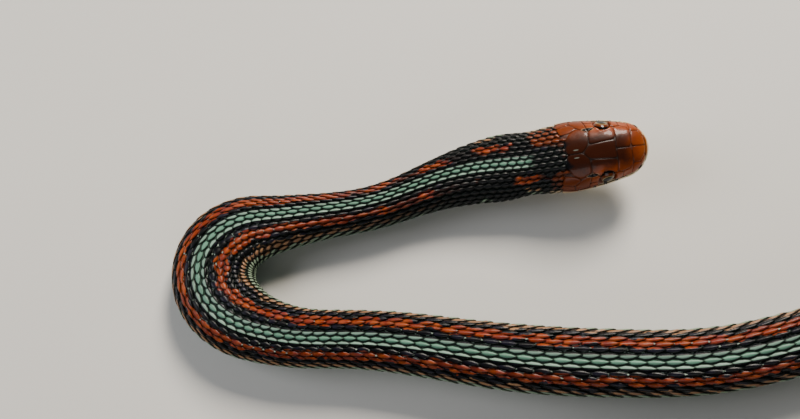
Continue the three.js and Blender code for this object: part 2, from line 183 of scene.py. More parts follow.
def read_table(rows, place, column=1):
    """A table's column read at each place, by cubic pieces whose slopes come from the neighbours."""
    table = np.array(rows, float)
    x, y = table[:, 0], table[:, column]
    at = np.clip(place, x[0], x[-1])
    i = np.clip(np.searchsorted(x, at, side="left") - 1, 0, len(x) - 2)
    order = np.arange(len(x))
    before, after = np.maximum(order - 1, 0), np.minimum(order + 1, len(x) - 1)
    slope = (y[after] - y[before]) / (x[after] - x[before])
    span = x[i + 1] - x[i]
    t = (at - x[i]) / span
    curve = (2 * t - 3) * t * t
    ends = slope[i] * (1 - t) - slope[i + 1] * t
    return y[i] * (1 + curve) - y[i + 1] * curve + span * t * (1 - t) * ends


def smooth(t):
    """0 below 0, 1 above 1, and the cubic 3t^2 - 2t^3 between."""
    x = np.clip(t, 0, 1)
    return x * x * (3 - 2 * x)


def heading(place):
    """The direction of the body on the floor plan, in radians: the sum of the bends so far."""
    degrees = np.full(np.shape(place), HEAD_RUNS)
    for start, end, turn in BENDS:
        degrees = degrees + turn * smooth((place - start) / (end - start))
    return np.radians(degrees)


# The body's line as points, each step taken in the direction at its middle
LINE_STEP = 0.05
_way = heading((np.arange(int(TOTAL_LENGTH / LINE_STEP)) + 0.5) * LINE_STEP)
LINE_X = SNOUT[0] + np.concatenate([[0], np.cumsum(np.cos(_way)) * LINE_STEP])
LINE_Y = SNOUT[1] + np.concatenate([[0], np.cumsum(np.sin(_way)) * LINE_STEP])


def lift(place):
    """How far the chin or belly is off the floor: a parabola along the neck, then straight."""
    at = np.maximum(place, HEAD_LENGTH)
    share = np.clip(1 - at / RISE_FROM, 0, 1)
    return RISE * share * share - 2 * RISE * share / RISE_FROM * (place - at)


def roll(place):
    """How far the section is rolled to the left, in radians."""
    gone = smooth((place - HEAD_LENGTH) / (ROLL_ENDS - HEAD_LENGTH))
    return math.radians(HEAD_ROLL) * (1 - gone)


def to_space(place, to_left, height):
    """A point beside the line: its place along it, mm to its left and mm above the belly."""
    turn, over = roll(place), height - ROLL_LEVEL
    across = to_left * np.cos(turn) + over * np.sin(turn)
    up = ROLL_LEVEL + over * np.cos(turn) - to_left * np.sin(turn)
    inside = np.clip(place, 0, TOTAL_LENGTH)
    cell = inside / LINE_STEP
    i = np.minimum(cell.astype(int), len(LINE_X) - 2)
    t = cell - i
    way = heading(place)
    past = place - inside
    x = LINE_X[i] * (1 - t) + LINE_X[i + 1] * t + np.cos(way) * past - np.sin(way) * across
    y = LINE_Y[i] * (1 - t) + LINE_Y[i + 1] * t + np.sin(way) * past + np.cos(way) * across
    return np.stack([x, y, lift(place) + up], -1)


def rounded_share(place):
    """The share of its full size that the body has near its two round ends."""
    front = np.clip(place / SNOUT_ROUND, 0, 1)
    back = np.clip((TOTAL_LENGTH - place) / TAIL_ROUND, 0, 1)
    end = np.minimum(front, back)
    return (1 - (1 - end) ** ROUND_POWER) ** (1 / ROUND_POWER)


def swell(place):
    """How much wider the section is on its right."""
    grown = smooth((place - FLANK["from"]) / (FLANK["full"] - FLANK["from"]))
    return FLANK["swell"] * grown * smooth((FLANK["to"] - place) / (FLANK["to"] - FLANK["full"]))


def section(place):
    """Half width, waist level, reach above and below the waist, floor level and squareness."""
    share = rounded_share(place)
    height = read_table(SIZES, place, HEIGHT)
    waist = height * read_table(SIZES, place, WAIST)
    flatter = END_HEIGHT + (1 - END_HEIGHT) * share
    half = read_table(SIZES, place, WIDTH) / 2 * share
    below = waist * flatter
    return half, waist, (height - waist) * flatter, below * BELLY_ROUND, waist - below, \
        read_table(SIZES, place, SQUARENESS)


def section_point(place, angle):
    """The section as a superellipse with a flat belly, at an angle in degrees from the back."""
    half, waist, above, below, floor, square = section(place)
    turn = np.radians(angle)
    side = np.sign(np.sin(turn)) * np.abs(np.sin(turn)) ** (2 / square)
    rise = np.sign(np.cos(turn)) * np.abs(np.cos(turn)) ** (2 / square)
    up = waist + np.where(rise > 0, above, below) * rise
    return (half + swell(place) * (side < 0)) * side, np.maximum(up, floor)


def mouth_height(place):
    """The level of the mouth's line above the chin."""
    return read_table(MOUTH, place)


def lip_height(place, angle):
    """The height of a point of the section above the mouth's line."""
    return section_point(place, angle)[1] - mouth_height(place)


def angle_of(place, across=None, up=None):
    """The section's angle for a given distance from the middle line, or for a given height."""
    half, waist, above, below, _, square = section(place)
    if across is not None:
        return np.degrees(np.arcsin(np.clip(across / half, 0, 1) ** (square / 2)))
    rise = (up - waist) / np.where(up > waist, above, below)
    return np.degrees(np.arccos(np.sign(rise) * np.clip(np.abs(rise), 0, 1) ** (square / 2)))


def base_point(place, angle):
    """The form's surface, with the jaw set back under the snout below the mouth's line."""
    across, up = section_point(place, angle)
    under = smooth((mouth_height(place) - up) / 0.2)
    back = JAW_SET_BACK * under * np.clip(1 - place / JAW_SET_BACK_ENDS, 0, 1) ** 2
    return to_space(place + back, across, up)


# The surface's normal: the place it isn't taken before, and its steps in mm along and degrees round
FRONT_END = 0.004
NORMAL_STEP = 0.12
NORMAL_TURN = 1.2


def base_normal(place, angle):
    """The outward direction: the cross product of the steps along and round the body."""
    before = np.maximum(place - NORMAL_STEP, FRONT_END)
    step = base_point(place + NORMAL_STEP, angle) - base_point(before, angle)
    turn = base_point(place, angle + NORMAL_TURN) - base_point(place, angle - NORMAL_TURN)
    normal = np.cross(step, turn)
    return normal / np.maximum(np.linalg.norm(normal, axis=-1, keepdims=True), 1e-12)


def eye_frame(side):
    """The eye's middle in space and its axis, side being 1 for the left and -1 for the right."""
    back, out, up = EYE_LOOKS
    at = [np.array(EYE["along"]), np.array(EYE["out"] * side), np.array(EYE["up"])]
    middle = to_space(*at)
    axis = to_space(at[0] + back, at[1] + out * side, at[2] + up) - middle
    return middle, axis / np.linalg.norm(axis)


def bump(distance, width):
    """A round hill of height 1: e to the minus square of distance over width."""
    return np.exp(-(distance / width) ** 2)


def head_relief(place, angle):
    """What the head adds to its plain form, in mm.

    The groove, the lip's roll and each hill are e to the minus square of a distance over a reach.
    The jaw's inset, the nostrils and the eyes' openings are steps down with soft edges.
    """
    across, up = section_point(place, angle)
    level = up - mouth_height(place)
    out = LIP_ROLL[0] * bump(level - LIP_ROLL[1], LIP_ROLL[2]) - GROOVE[0] * bump(level, GROOVE[1])
    starts, full, ends, gone = JAW_LEVELS
    inset = smooth((starts - level) / (starts - full)) * smooth((level - gone) / (ends - gone))
    in_mouth = 1 - smooth((place - MOUTH_CORNER + MOUTH_FADE[0]) / MOUTH_FADE[1])
    out = (out - JAW_INSET * inset) * in_mouth
    measured = {"out": np.abs(across), "level": level}
    for rise, at, reach, kind, middle, spread, lowest in HEAD_FORMS:
        form = bump(place - at, reach) * bump(measured[kind] - middle, spread)
        out = out + rise * form * (level > lowest)
    from_nostril = np.hypot(place - NOSTRIL["along"], up - NOSTRIL["up"]) / NOSTRIL["radius"]
    out = out - NOSTRIL["depth"] * np.exp(-from_nostril ** 4) * (np.abs(across) > 1)
    point = base_point(place, angle)
    for side in (-1, 1):
        middle, axis = eye_frame(side)
        apart = point - middle
        depth = apart @ axis
        from_axis = np.linalg.norm(apart - depth[..., None] * axis, axis=-1)
        inside = 1 - smooth((from_axis - EYE["opening"] + EYE_EDGE) / (2 * EYE_EDGE))
        out = out - EYE_SOCKET * inside * (depth > 0)
    return out


def surface(place, angle, level=0.0):
    """A point of the dressed form in metres, at a level in mm above it."""
    place, angle = np.broadcast_arrays(np.asarray(place, float), np.asarray(angle, float))
    out = np.array(np.broadcast_to(level, place.shape), float)
    on_head = place < HEAD_LENGTH
    if on_head.any():
        out[on_head] += head_relief(place[on_head], angle[on_head])
    return (base_point(place, angle) + base_normal(place, angle) * out[..., None]) * MM


# Scale rows on the form


def row_widths(place):
    """The width of each of the ten rows of a side, those that run out narrowing to nothing."""
    widths = np.repeat(ROW_WIDTHS[None, :], len(place), axis=0)
    for row, start, length in ROW_ENDS:
        widths[:, row] *= 1 - smooth((place - start) / length)
    return widths


# The table of row angles: its steps in rows and mm, and how many points measure each arc
ROW_STEP = 0.25
PLACE_STEP = 0.5
ARC_POINTS = 125


def row_angle_table():
    """Angles of equal shares of the arc from the back's middle to the belly's edge, row by row."""
    places = np.arange(0, TOTAL_LENGTH + PLACE_STEP, PLACE_STEP)
    angles = np.linspace(0, BELLY_EDGE, ARC_POINTS)
    across, up = section_point(np.minimum(places, TOTAL_LENGTH - 0.1)[:, None], angles[None, :])
    arc = np.cumsum(np.hypot(np.diff(across), np.diff(up)), axis=1)
    arc = np.concatenate([np.zeros((len(places), 1)), arc], axis=1)
    widths = row_widths(places)
    widths[:, 0] /= 2
    edges = np.concatenate([np.zeros((len(places), 1)), np.cumsum(widths, axis=1)], axis=1)
    edges /= edges[:, -1:]
    edge_rows = np.concatenate([[0], np.arange(len(ROW_WIDTHS)) + 0.5])
    rows = np.arange(0, LAST_ROW + ROW_STEP / 2, ROW_STEP)
    table = [
        np.interp(np.interp(rows, edge_rows, edges[i]) * arc[i, -1], arc[i], angles)
        for i in range(len(places))
    ]
    return np.array(table)


ROW_ANGLES = row_angle_table()


def row_angle(place, row):
    """The section's angle at a place and a row counted from the back's middle, left positive."""
    place, row = np.broadcast_arrays(np.asarray(place, float), np.asarray(row, float))
    size = np.abs(row)
    p = np.clip(place / PLACE_STEP, 0, ROW_ANGLES.shape[0] - 1.001)
    r = np.clip(size / ROW_STEP, 0, ROW_ANGLES.shape[1] - 1.001)
    i, j = p.astype(int), r.astype(int)
    a, b = p - i, r - j
    near = ROW_ANGLES[i, j] * (1 - b) + ROW_ANGLES[i, j + 1] * b
    far = ROW_ANGLES[i + 1, j] * (1 - b) + ROW_ANGLES[i + 1, j + 1] * b
    angle = near * (1 - a) + far * a
    past = np.clip(size - LAST_ROW, 0, None) / (BELLY_ROW - LAST_ROW)
    angle = np.where(size > LAST_ROW, BELLY_EDGE + past * (180 - BELLY_EDGE), angle)
    angle = angle * np.sign(row)
    return angle - read_table(ROLL, place) * (1 + np.cos(np.radians(angle))) / 2


def counted(place):
    """How many scale lengths lie between the snout and each place."""
    fine = np.arange(0, TOTAL_LENGTH + FINE_STEP, FINE_STEP)
    steps = FINE_STEP / read_table(SPACING, fine + FINE_STEP / 2)
    return np.interp(place, fine, np.concatenate([[0], np.cumsum(steps)[:-1]]))


def shields_end(row):
    """Where the head shields end on a row: straight lines between the table's rows."""
    return np.interp(np.abs(row), *np.array(SHIELDS_END).T)


# Meshes


def grid_quads(rows, columns, closed=False):
    """Quads of a grid of points facing the cross product of the row step and the column step."""
    r = np.arange(rows - 1)[:, None] * columns
    c = np.arange(columns if closed else columns - 1)[None, :]
    a, b = r + c, r + (c + 1) % columns
    return np.stack([a, a + columns, b + columns, b], -1).reshape(-1, 4)


def tube_faces(rings, columns):
    """Quads of a tube of rings, and triangles that close its ends at two more points."""
    around = np.arange(columns)
    after = np.roll(around, -1)
    first, last = np.full(columns, rings * columns), np.full(columns, rings * columns + 1)
    base = (rings - 1) * columns
    ends = [np.stack([first, around, after], -1), np.stack([last, base + after, base + around], -1)]
    return grid_quads(rings, columns, closed=True), np.concatenate(ends)


def make_piece(name, points, quads, triangles, facts, material, slot, nodes=(), patches=None):
    """A smooth mesh of quads and triangles with its facts per point, riding on the body."""
    corners = np.concatenate([quads.ravel(), triangles.ravel()]).astype(np.int32)
    sides = np.concatenate([np.full(len(quads), 4), np.full(len(triangles), 3)])
    starts = np.concatenate([[0], np.cumsum(sides)[:-1]]).astype(np.int32)
    mesh = bpy.data.meshes.new(name)
    mesh.vertices.add(len(points))
    mesh.vertices.foreach_set("co", points.astype(np.float32).ravel())
    mesh.loops.add(len(corners))
    mesh.loops.foreach_set("vertex_index", corners)
    mesh.polygons.add(len(starts))
    mesh.polygons.foreach_set("loop_start", starts)
    mesh.polygons.foreach_set("use_smooth", np.ones(len(starts), bool))
    mesh.update(calc_edges=True)
    for key, values in facts.items():
        layer = mesh.attributes.new(key, "FLOAT", "POINT")
        layer.data.foreach_set("value", np.asarray(values, np.float32).ravel())
    if patches is not None:
        layer = mesh.uv_layers.new(name="OFBake")
        layer.data.foreach_set("uv", patches[corners].astype(np.float32).ravel())
    if mesh.validate(verbose=False):
        raise RuntimeError(f"{name} has broken faces")
    mesh.materials.append(material)
    piece = bpy.data.objects.new(name, mesh)
    bpy.context.scene.collection.objects.link(piece)
    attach(piece, "root")
    if nodes:
        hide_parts(*nodes)
    return piece


def plate_faces(rows, columns):
    """Faces of a plate: its top grid, a rim of lowered copies of the border and a fan below."""
    top = grid_quads(rows, columns)
    number = np.arange(rows * columns).reshape(rows, columns)
    border = np.concatenate([number[0, :-1], number[:-1, -1], number[-1, :0:-1], number[:0:-1, 0]])
    count = len(border)
    lower = rows * columns + np.arange(count)
    after = np.roll(np.arange(count), -1)
    rim = np.stack([border, border[after], lower[after], lower], -1)
    middle = rows * columns + count
    fan = np.stack([lower, lower[after], np.full(count, middle)], -1)
    return np.concatenate([top, rim]), fan, border


def array_faces(template, count, points_each):
    """The faces of a template repeated for each copy, their numbers moved on."""
    moved = template[None, :, :] + (np.arange(count) * points_each)[:, None, None]
    return moved.reshape(-1, template.shape[1])


# The size of a scale's patch, and the margins of all the patches along and round the body
PATCH = 0.003
MARGINS = (0.01, 0.02)


def patch_places(place, angle, shift_u, shift_v):
    """A small patch for each scale, at its root's place on the skin unrolled flat."""
    along, around = counted(place) / counted(TOTAL_LENGTH), np.mod(angle + 180, 360) / 360
    u = MARGINS[0] + (1 - 2 * MARGINS[0]) * along + (shift_u - 0.5) * PATCH
    v = MARGINS[1] + (1 - 2 * MARGINS[1]) * around + (shift_v - 0.5) * PATCH
    return np.stack([u, v], -1)


def copies(faces, root, root_angle, at, angle, level, t, v, facts):
    """Copies of one plate on the form: points, faces, facts and patches.

    faces are the quads and triangles of one plate. root and root_angle hold one value a copy, t
    and v one a point, from the root to the rear edge and across, and the rest one row a copy.
    """
    count, each = at.shape
    quads, triangles = (array_faces(kind, count, each) for kind in faces)
    facts = {"place": at, "tip": t, "lip": lip_height(at, angle), **facts}
    facts = {key: np.broadcast_to(values, at.shape) for key, values in facts.items()}
    patches = patch_places(root[:, None], root_angle[:, None],
                           np.broadcast_to(t, at.shape), np.broadcast_to(v, at.shape))
    return surface(at, angle, level).reshape(-1, 3), quads, triangles, facts, patches.reshape(-1, 2)


def joined(parts):
    """Several sets of points, faces, facts and patches as one set, the faces' numbers moved on."""
    offsets = np.cumsum([0] + [len(part[0]) for part in parts[:-1]])
    points = np.concatenate([part[0] for part in parts])
    quads = np.concatenate([part[1] + offset for part, offset in zip(parts, offsets)])
    triangles = np.concatenate([part[2] + offset for part, offset in zip(parts, offsets)])
    facts = {key: np.concatenate([np.ravel(part[3][key]) for part in parts]) for key in parts[0][3]}
    patches = np.concatenate([part[4] for part in parts])
    return points, quads, triangles, facts, patches


# Scales and scutes, which are plates that start and end between two places

PLACES = (0.01, TOTAL_LENGTH - 0.05)

# A scale's points, the same for all: t runs from its root to its tip and v across it
SCALE_T = np.array([0.0, 0.2, 0.42, 0.68, 0.88, 1.0])
SCALE_V = np.array([-1.0, -0.3, 0.0, 0.3, 1.0])

# A scale's outline: the shares of its length between which it is widest, how nearly it comes to a
# point at its root, the two powers that soften its corners, and its least width
WIDEST = (0.38, 0.50)
ROOT_NARROWING = 0.97
CORNER_POWERS = (1.45, 0.92)
LEAST_WIDTH = 0.05

# Where a scale's middle lies between its root and its tip, how fast it rises, its arch, the keel's
# width, the width of the free edge below against above, how much the scales differ in rise, and
# the length from which their rise is full
SCALE_MIDDLE = 0.46
RISE_RATE = 1.1
SCALE_ARCH = 0.07
KEEL_WIDTH = 0.2
LOWER_WIDTH = 0.94
RISE_SPREAD = 0.10
FULL_LENGTH = 2.4

# How deep scales are tucked in at the head shields, from how far before their edge, over what length
TUCK = (0.3, 0.2, 0.5)

# How a plate is made: depth of its root, rise of its tip, thickness of its free edge, how far its
# underside lies below its root, length by the scales' spacing, and half its width in rows; or how
# many degrees it goes on past the belly's edge, and its columns of points
BACK_SCALE = {"sunk": 0.22, "proud": 0.02, "thick": 0.10, "below": 0.15, "overlap": 1.30,
              "half_rows": 0.54}
THROAT_SCALE = {**BACK_SCALE, "sunk": 0.12, "half_rows": 0.66}
SCUTE = {"sunk": 0.26, "proud": -0.01, "thick": 0.10, "below": 0.20, "overlap": 1.22,
         "past_edge": 5.0, "columns": 17}
TAIL_SCUTE = {**SCUTE, "columns": 8}

# Degrees between the tail's middle line and each of a pair of scutes
TAIL_GAP = 1.5


def scale_outline(t):
    """Half width of a scale as a share of its widest: a long hexagon with softened corners."""
    rear = np.clip((t - WIDEST[1]) / (1 - WIDEST[1]), 0, 1)
    front = np.clip((WIDEST[0] - t) / WIDEST[0], 0, 1) * ROOT_NARROWING
    return (1 - (rear + front) ** CORNER_POWERS[0]) ** CORNER_POWERS[1]


def lay_scales(place, row, form, keel, rng):
    """Scales on the form, each a plate with a keel whose root is sunk and whose tip stands free.

    place and row hold one value a scale, its middle and its row. The height over the form is a
    smooth rise from root to tip, plus an arch across, plus a narrow hill along the middle for the
    keel. Next to the head shields the whole scale is tucked down under their edge.
    """
    quads, fan, border = plate_faces(len(SCALE_T), len(SCALE_V))
    t, v = (grid.ravel() for grid in np.meshgrid(SCALE_T, SCALE_V, indexing="ij"))
    outline = np.maximum(scale_outline(t), LEAST_WIDTH)
    height = -form["sunk"] + (form["sunk"] + form["proud"]) * smooth(t * RISE_RATE)
    arch = SCALE_ARCH * (1 - v ** 2) * outline
    # The keel comes up over the first third and ends over the last fifth
    ridge = keel * bump(v, KEEL_WIDTH) * smooth(t * 3) * smooth((1.02 - t) * 5)
    rim = np.concatenate([np.maximum(np.abs(v), np.abs(t - 0.5) * 2), np.ones(len(border) + 1)])
    cross = np.concatenate([v, v[border], [0.0]])
    over = np.concatenate([v * outline, (v * outline)[border] * LOWER_WIDTH, [0.0]])
    level = np.concatenate([height + arch + ridge, height[border] - form["thick"],
                            [-form["sunk"] - form["below"]]])
    t = np.concatenate([t, t[border], [0.5]])
    length = read_table(SPACING, place) * form["overlap"]
    at = place[:, None] + (t[None, :] - SCALE_MIDDLE) * length[:, None]
    at = np.clip(at, *PLACES)
    at_row = row[:, None] + over[None, :] * form["half_rows"]
    tilt = 1 + RISE_SPREAD * rng.standard_normal(len(place))
    size = np.minimum(1, length / FULL_LENGTH)
    tucked = TUCK[0] * (1 - smooth((at - shields_end(at_row) + TUCK[1]) / TUCK[2]))
    level = level[None, :] * tilt[:, None] * size[:, None] - tucked
    facts = {
        "row": at_row,
        "cross": cross * np.sign(row + 1e-9)[:, None],
        "rim": rim,
        "grain": rng.random(len(place))[:, None],
    }
    return copies((quads, fan), place, row_angle(place, row), at, row_angle(at, at_row), level,
                  t, over * 0.5 + 0.5, facts)


def back_scale_places():
    """The middle and row of every back scale: rows side by side, each half a scale on."""
    fine = np.arange(0, TOTAL_LENGTH, FINE_STEP)
    number = counted(fine)
    widths = row_widths(fine)
    places, rows = [], []
    for row in range(1 - len(ROW_WIDTHS), len(ROW_WIDTHS)):
        index = abs(row)
        phase = np.zeros_like(fine)
        for ended, start, length in ROW_ENDS:
            if ended < index:
                phase += 0.5 * smooth((fine - start) / length)
        count = number + phase + (0.5 if index % 2 else 0.0)
        first = math.ceil(np.interp(shields_end(index) - UNDER_SHIELDS, fine, count))
        at = np.interp(np.arange(first, int(count[-1])), count, fine)
        keep = np.interp(at, fine, widths[:, index]) > 0.3 * ROW_WIDTHS[index]
        places.append(at[keep])
        rows.append(np.full(keep.sum(), float(row)))
    return np.concatenate(places), np.concatenate(rows)


def throat_scale_places():
    """The middle and row of the small scales between the chin shields and the first scute."""
    fine = np.arange(0, BELLY_STARTS + 2, FINE_STEP)
    count = counted(fine)
    places, rows = [], []
    for row in (-12, -11, -10, 10, 11, 12):
        shift = 0.5 if row % 2 else 0.0
        first = math.ceil(np.interp(shields_end(row) - UNDER_SHIELDS, fine, count) - shift)
        last = math.floor(np.interp(BELLY_STARTS, fine, count) - shift)
        at = np.interp(np.arange(first, last + 1) + shift, count, fine)
        places.append(at)
        rows.append(np.full(len(at), float(row)))
    return np.concatenate(places), np.concatenate(rows)


# A scute's steps from root to rear edge, how fast it rises, and its dip at the rear edge: how deep
# and from where
SCUTE_T = np.array([0.0, 0.25, 0.6, 0.9, 1.0])
SCUTE_RATE = 1.3
SCUTE_DIP = (0.05, 0.85)


def lay_scutes(place, from_angle, to_angle, form, rng):
    """Plates across the belly, each from one angle to another, root sunk and rear edge low.

    The height over the form rises straight from the sunk root and dips again at the rear edge.
    """
    quads, fan, border = plate_faces(len(SCUTE_T), form["columns"])
    grids = np.meshgrid(SCUTE_T, np.linspace(0, 1, form["columns"]), indexing="ij")
    t, v = (grid.ravel() for grid in grids)
    height = -form["sunk"] + (form["sunk"] + form["proud"]) * np.minimum(1, t * SCUTE_RATE)
    height = height - SCUTE_DIP[0] * smooth((t - SCUTE_DIP[1]) / (1 - SCUTE_DIP[1]))
    level = np.concatenate([height, height[border] - form["thick"],
                            [-form["sunk"] - form["below"]]])
    t = np.concatenate([t, t[border], [0.5]])
    v = np.concatenate([v, v[border], [0.5]])
    length = read_table(SPACING, place) * form["overlap"]
    at = place[:, None] + (t[None, :] - 0.5) * length[:, None]
    at = np.clip(at, *PLACES)
    angle = np.broadcast_to(from_angle + (to_angle - from_angle) * v, at.shape)
    size = np.minimum(1, length / FULL_LENGTH)
    wrapped = np.abs(np.mod(angle + 180, 360) - 180)
    facts = {
        "row": LAST_ROW + (wrapped - BELLY_EDGE) / (180 - BELLY_EDGE) * (BELLY_ROW - LAST_ROW),
        "cross": 0.0,
        "rim": np.abs(t * 2 - 1),
        "grain": rng.random(len(place))[:, None],
    }
    middle = np.full(len(place), (from_angle + to_angle) / 2)
    return copies((quads, fan), place, middle, at, angle, level[None, :] * size[:, None], t, v, facts)


# Head shields: corners of one side, shared by neighbours


def top(along, across):
    """A corner seen from above, as its place and angle."""
    return along, float(angle_of(np.array(float(along)), across=np.array(float(across))))


def side(along, above):
    """A corner seen from the side, by its height above the mouth's line, as place and angle."""
    along = float(along)
    return along, float(angle_of(np.array(along), up=mouth_height(np.array(along)) + above))


def under(along, across):
    """A corner seen from below, as its place and angle."""
    return along, 180 - top(along, across)[1]


# The line that the shields round an eye keep to: the eye's opening and a narrow seam
EYE_RIM = {"radius": 1.27, "forward": 0.1, "level": 1.76, "half_height": 1.12}


def eye_rim(degrees):
    """A corner on the rim of the eye's opening, by its angle from the front, up positive."""
    turn = math.radians(degrees)
    along = EYE["along"] - EYE_RIM["forward"] - EYE_RIM["radius"] * math.cos(turn)
    return side(along, EYE_RIM["level"] + EYE_RIM["half_height"] * math.sin(turn))


def nostril_rim(back, up):
    """A corner on the nostril's rim, by how many of its radii it lies behind and above its middle."""
    along = NOSTRIL["along"] + back * NOSTRIL["radius"]
    level = NOSTRIL["up"] + up * NOSTRIL["radius"]
    return along, float(angle_of(np.array(along), up=np.array(level)))


CORNERS = {
    "nose": top(0.62, 0), "nose_out": top(0.85, 1.15), "nasal_top": top(1.5, 2.05),
    "nasal_back": top(2.6, 2.15), "inter_back": top(2.75, 0), "canthus": top(2.95, 2.75),
    "canthus_back": top(3.95, 3.05), "pre_back": top(4.9, 0), "frontal_front": top(4.75, 1.3),
    "brow_front": top(4.75, 2.95), "brow_mid": top(6.2, 3.3), "brow_back": top(7.6, 3.1),
    "brow_tail": top(8.35, 2.75), "frontal_back": top(8.55, 1.0), "frontal_tip": top(9.4, 0),
    "par_out": top(9.7, 3.45), "par_low": top(10.9, 2.9), "par_back": top(11.9, 1.4),
    "par_end": top(11.5, 0),
    "lip_0": side(0.75, 1.05), "lip_nostril": side(1.45, 1.0), "lip_2": side(2.7, 1.08),
    "lip_3": side(3.95, 1.15), "lip_pre": side(4.9, 1.0), "lip_post": side(7.75, 0.95),
    "lip_temp": side(8.7, 1.3), "lip_temp_back": side(10.5, 1.35), "lip_end": side(12.3, 1.2),
    "nostril_top": nostril_rim(0, 1.5), "nostril_low": nostril_rim(0, -1.5),
    "nostril_front": nostril_rim(-1.3, 0), "nostril_back": nostril_rim(1.3, 0),
    "rim_front_high": eye_rim(48), "rim_front": eye_rim(12), "rim_front_low": eye_rim(-25),
    "rim_back_high": eye_rim(125), "rim_back": eye_rim(160), "rim_back_mid": eye_rim(190),
    "rim_back_low": eye_rim(222),
    "post_low": side(8.65, 1.55), "post_high": side(8.6, 2.3),
    "temp_mid": side(10.6, 2.2), "temp_back": side(12.4, 2.0), "temp_top": side(12.1, 2.9),
    "rostral_out": side(0.7, 0.07), "rostral_low": side(0.12, 0.07),
    "mental_top": side(0.12, -0.09), "mental_out": side(0.9, -0.07),
    "mental_low": side(0.95, -0.55), "mental_tip": under(1.8, 0.1),
    "chin_front": under(1.9, 0.06), "chin_front_out": side(1.9, -0.76),
    "chin_side": side(4.6, -0.94), "chin_side_back": side(5.3, -1.0),
    "chin_mid_out": under(5.7, 0.9), "chin_mid": under(5.4, 0.06),
    "chin_2_front": under(5.5, 0.06), "chin_2_out": under(5.8, 0.9), "chin_2_side": side(5.4, -1.0),
    "chin_2_side_back": side(8.6, -0.95), "chin_2_end": under(9.8, 1.3),
    "chin_2_back": under(8.6, 0.12),
}

# Shields of one side in groups, by their corners, with their rise in mm and how dark their edge is
UPPER_SHIELDS = [
    (0.05, 0.25, {
        "internasal": "nose nose_out nasal_top nasal_back inter_back",
        "prefrontal": "inter_back nasal_back canthus canthus_back brow_front frontal_front pre_back",
        "supraocular": "frontal_front brow_front brow_mid brow_back brow_tail frontal_back",
        "parietal": "frontal_tip frontal_back brow_tail par_out par_low par_back par_end",
        "front_nasal": "lip_0 nose_out nasal_top nostril_top nostril_front nostril_low lip_nostril",
        "back_nasal": "lip_nostril nostril_low nostril_back nostril_top nasal_top nasal_back lip_2",
        "loreal": "lip_2 nasal_back canthus canthus_back lip_3",
        "front_temporal": "lip_temp post_low post_high brow_tail par_out temp_mid lip_temp_back",
        "back_temporal_low": "lip_temp_back temp_mid temp_back lip_end",
        "back_temporal_high": "temp_mid par_out par_low temp_top temp_back",
    }),
    (0.06, 0.5, {
        "preocular": "lip_3 canthus_back brow_front rim_front_high rim_front rim_front_low lip_pre",
    }),
    (0.06, 0.6, {
        "upper_postocular": "rim_back_high brow_back brow_tail post_high rim_back",
        "middle_postocular": "rim_back post_high post_low rim_back_mid",
        "lower_postocular": "rim_back_mid post_low lip_temp lip_post rim_back_low",
    }),
]
CHIN_SHIELDS = [
    (0.07, 0.2, {
        "front_chin": "chin_front chin_front_out chin_side chin_side_back chin_mid_out chin_mid",
        "back_chin": "chin_2_front chin_2_out chin_2_side chin_2_side_back chin_2_end chin_2_back",
    }),
]

# Shields on the middle line by the corners of their left half, and the angles that the two on the
# tip of the snout keep between
FRONTAL = (0.055, 0.25, "pre_back frontal_front frontal_back frontal_tip")
ROSTRAL = (0.07, 0.3, "nose nose_out lip_0 rostral_out rostral_low")
MENTAL = (0.07, 0.3, "mental_top mental_out mental_low mental_tip")
ROSTRAL_ANGLES = (0, 103)
MENTAL_ANGLES = (107, 180)

# Upper and lower lip shields: where each ends and their height there, then their rises, how dark
# their edges are, darkest under the eye, and how far they keep from the mouth's line
UPPER_LIPS = [
    (0.75, 1.05), (2.0, 1.02), (3.3, 1.12), (4.75, 1.02), (6.25, 0.62), (7.8, 0.95), (9.9, 1.33),
    (12.3, 1.2),
]
LOWER_LIPS = [
    (0.95, 0.6), (1.9, 0.7), (2.9, 0.78), (4.0, 0.85), (5.2, 0.9), (6.6, 0.9), (8.0, 0.85),
    (9.4, 0.8), (10.8, 0.75), (12.2, 0.7),
]
UPPER_LIP_RISE = 0.09
LOWER_LIP_RISE = 0.07
UPPER_LIP_EDGES = (0.5, 0.5, 1.0, 1.0, 1.0, 0.5, 0.5)
LOWER_LIP_EDGE = 0.3
LIP_SEAM = 0.07

# How a shield is drawn: half the seam's width, its rings from middle to edge, where its top starts
# to fall, over what share and by how much of its rise, points to each side of its outline, rounds
# of smoothing, how deep its edge and its underside lie, and the mm that the steps of an outline
# stand for: along and a degree round, or across and up the snout's disc
SUTURE = 0.03
SHIELD_RINGS = np.array([0.3, 0.6, 0.84, 0.93, 0.975, 1.0])
EDGE_FALL = (0.88, 0.14, 0.8)
SIDE_POINTS = 7
ROUNDING = 2
EDGE_DEPTH = 0.22
UNDERSIDE_DEPTH = 0.30
FORM_MM = np.array([1.0, 0.075])
DISC_MM = np.array([3.2, 2.2])

# Degrees that count as one row on the head, for its colours
ROW_DEGREES = 11.5


def mirrored(outline):
    """The same outline on the other side of the head."""
    return [(along, -angle) for along, angle in outline]


def seen_from_front(outline):
    """Places and angles near the snout's tip as points of a disc seen from the front."""
    share, turn = rounded_share(outline[:, 0]), np.radians(outline[:, 1])
    return np.stack([share * np.sin(turn), share * np.cos(turn)], -1)


def from_front_to_form(disc, angles):
    """Points of that disc back as places and angles, kept between two angles."""
    share = np.clip(np.hypot(disc[:, 0], disc[:, 1]), 0.02, 0.9999)
    place = SNOUT_ROUND * (1 - (1 - share ** ROUND_POWER) ** (1 / ROUND_POWER))
    angle = np.degrees(np.arctan2(disc[:, 0], disc[:, 1]))
    return place, np.where(angle < 0, -1, 1) * np.clip(np.abs(angle), *angles)


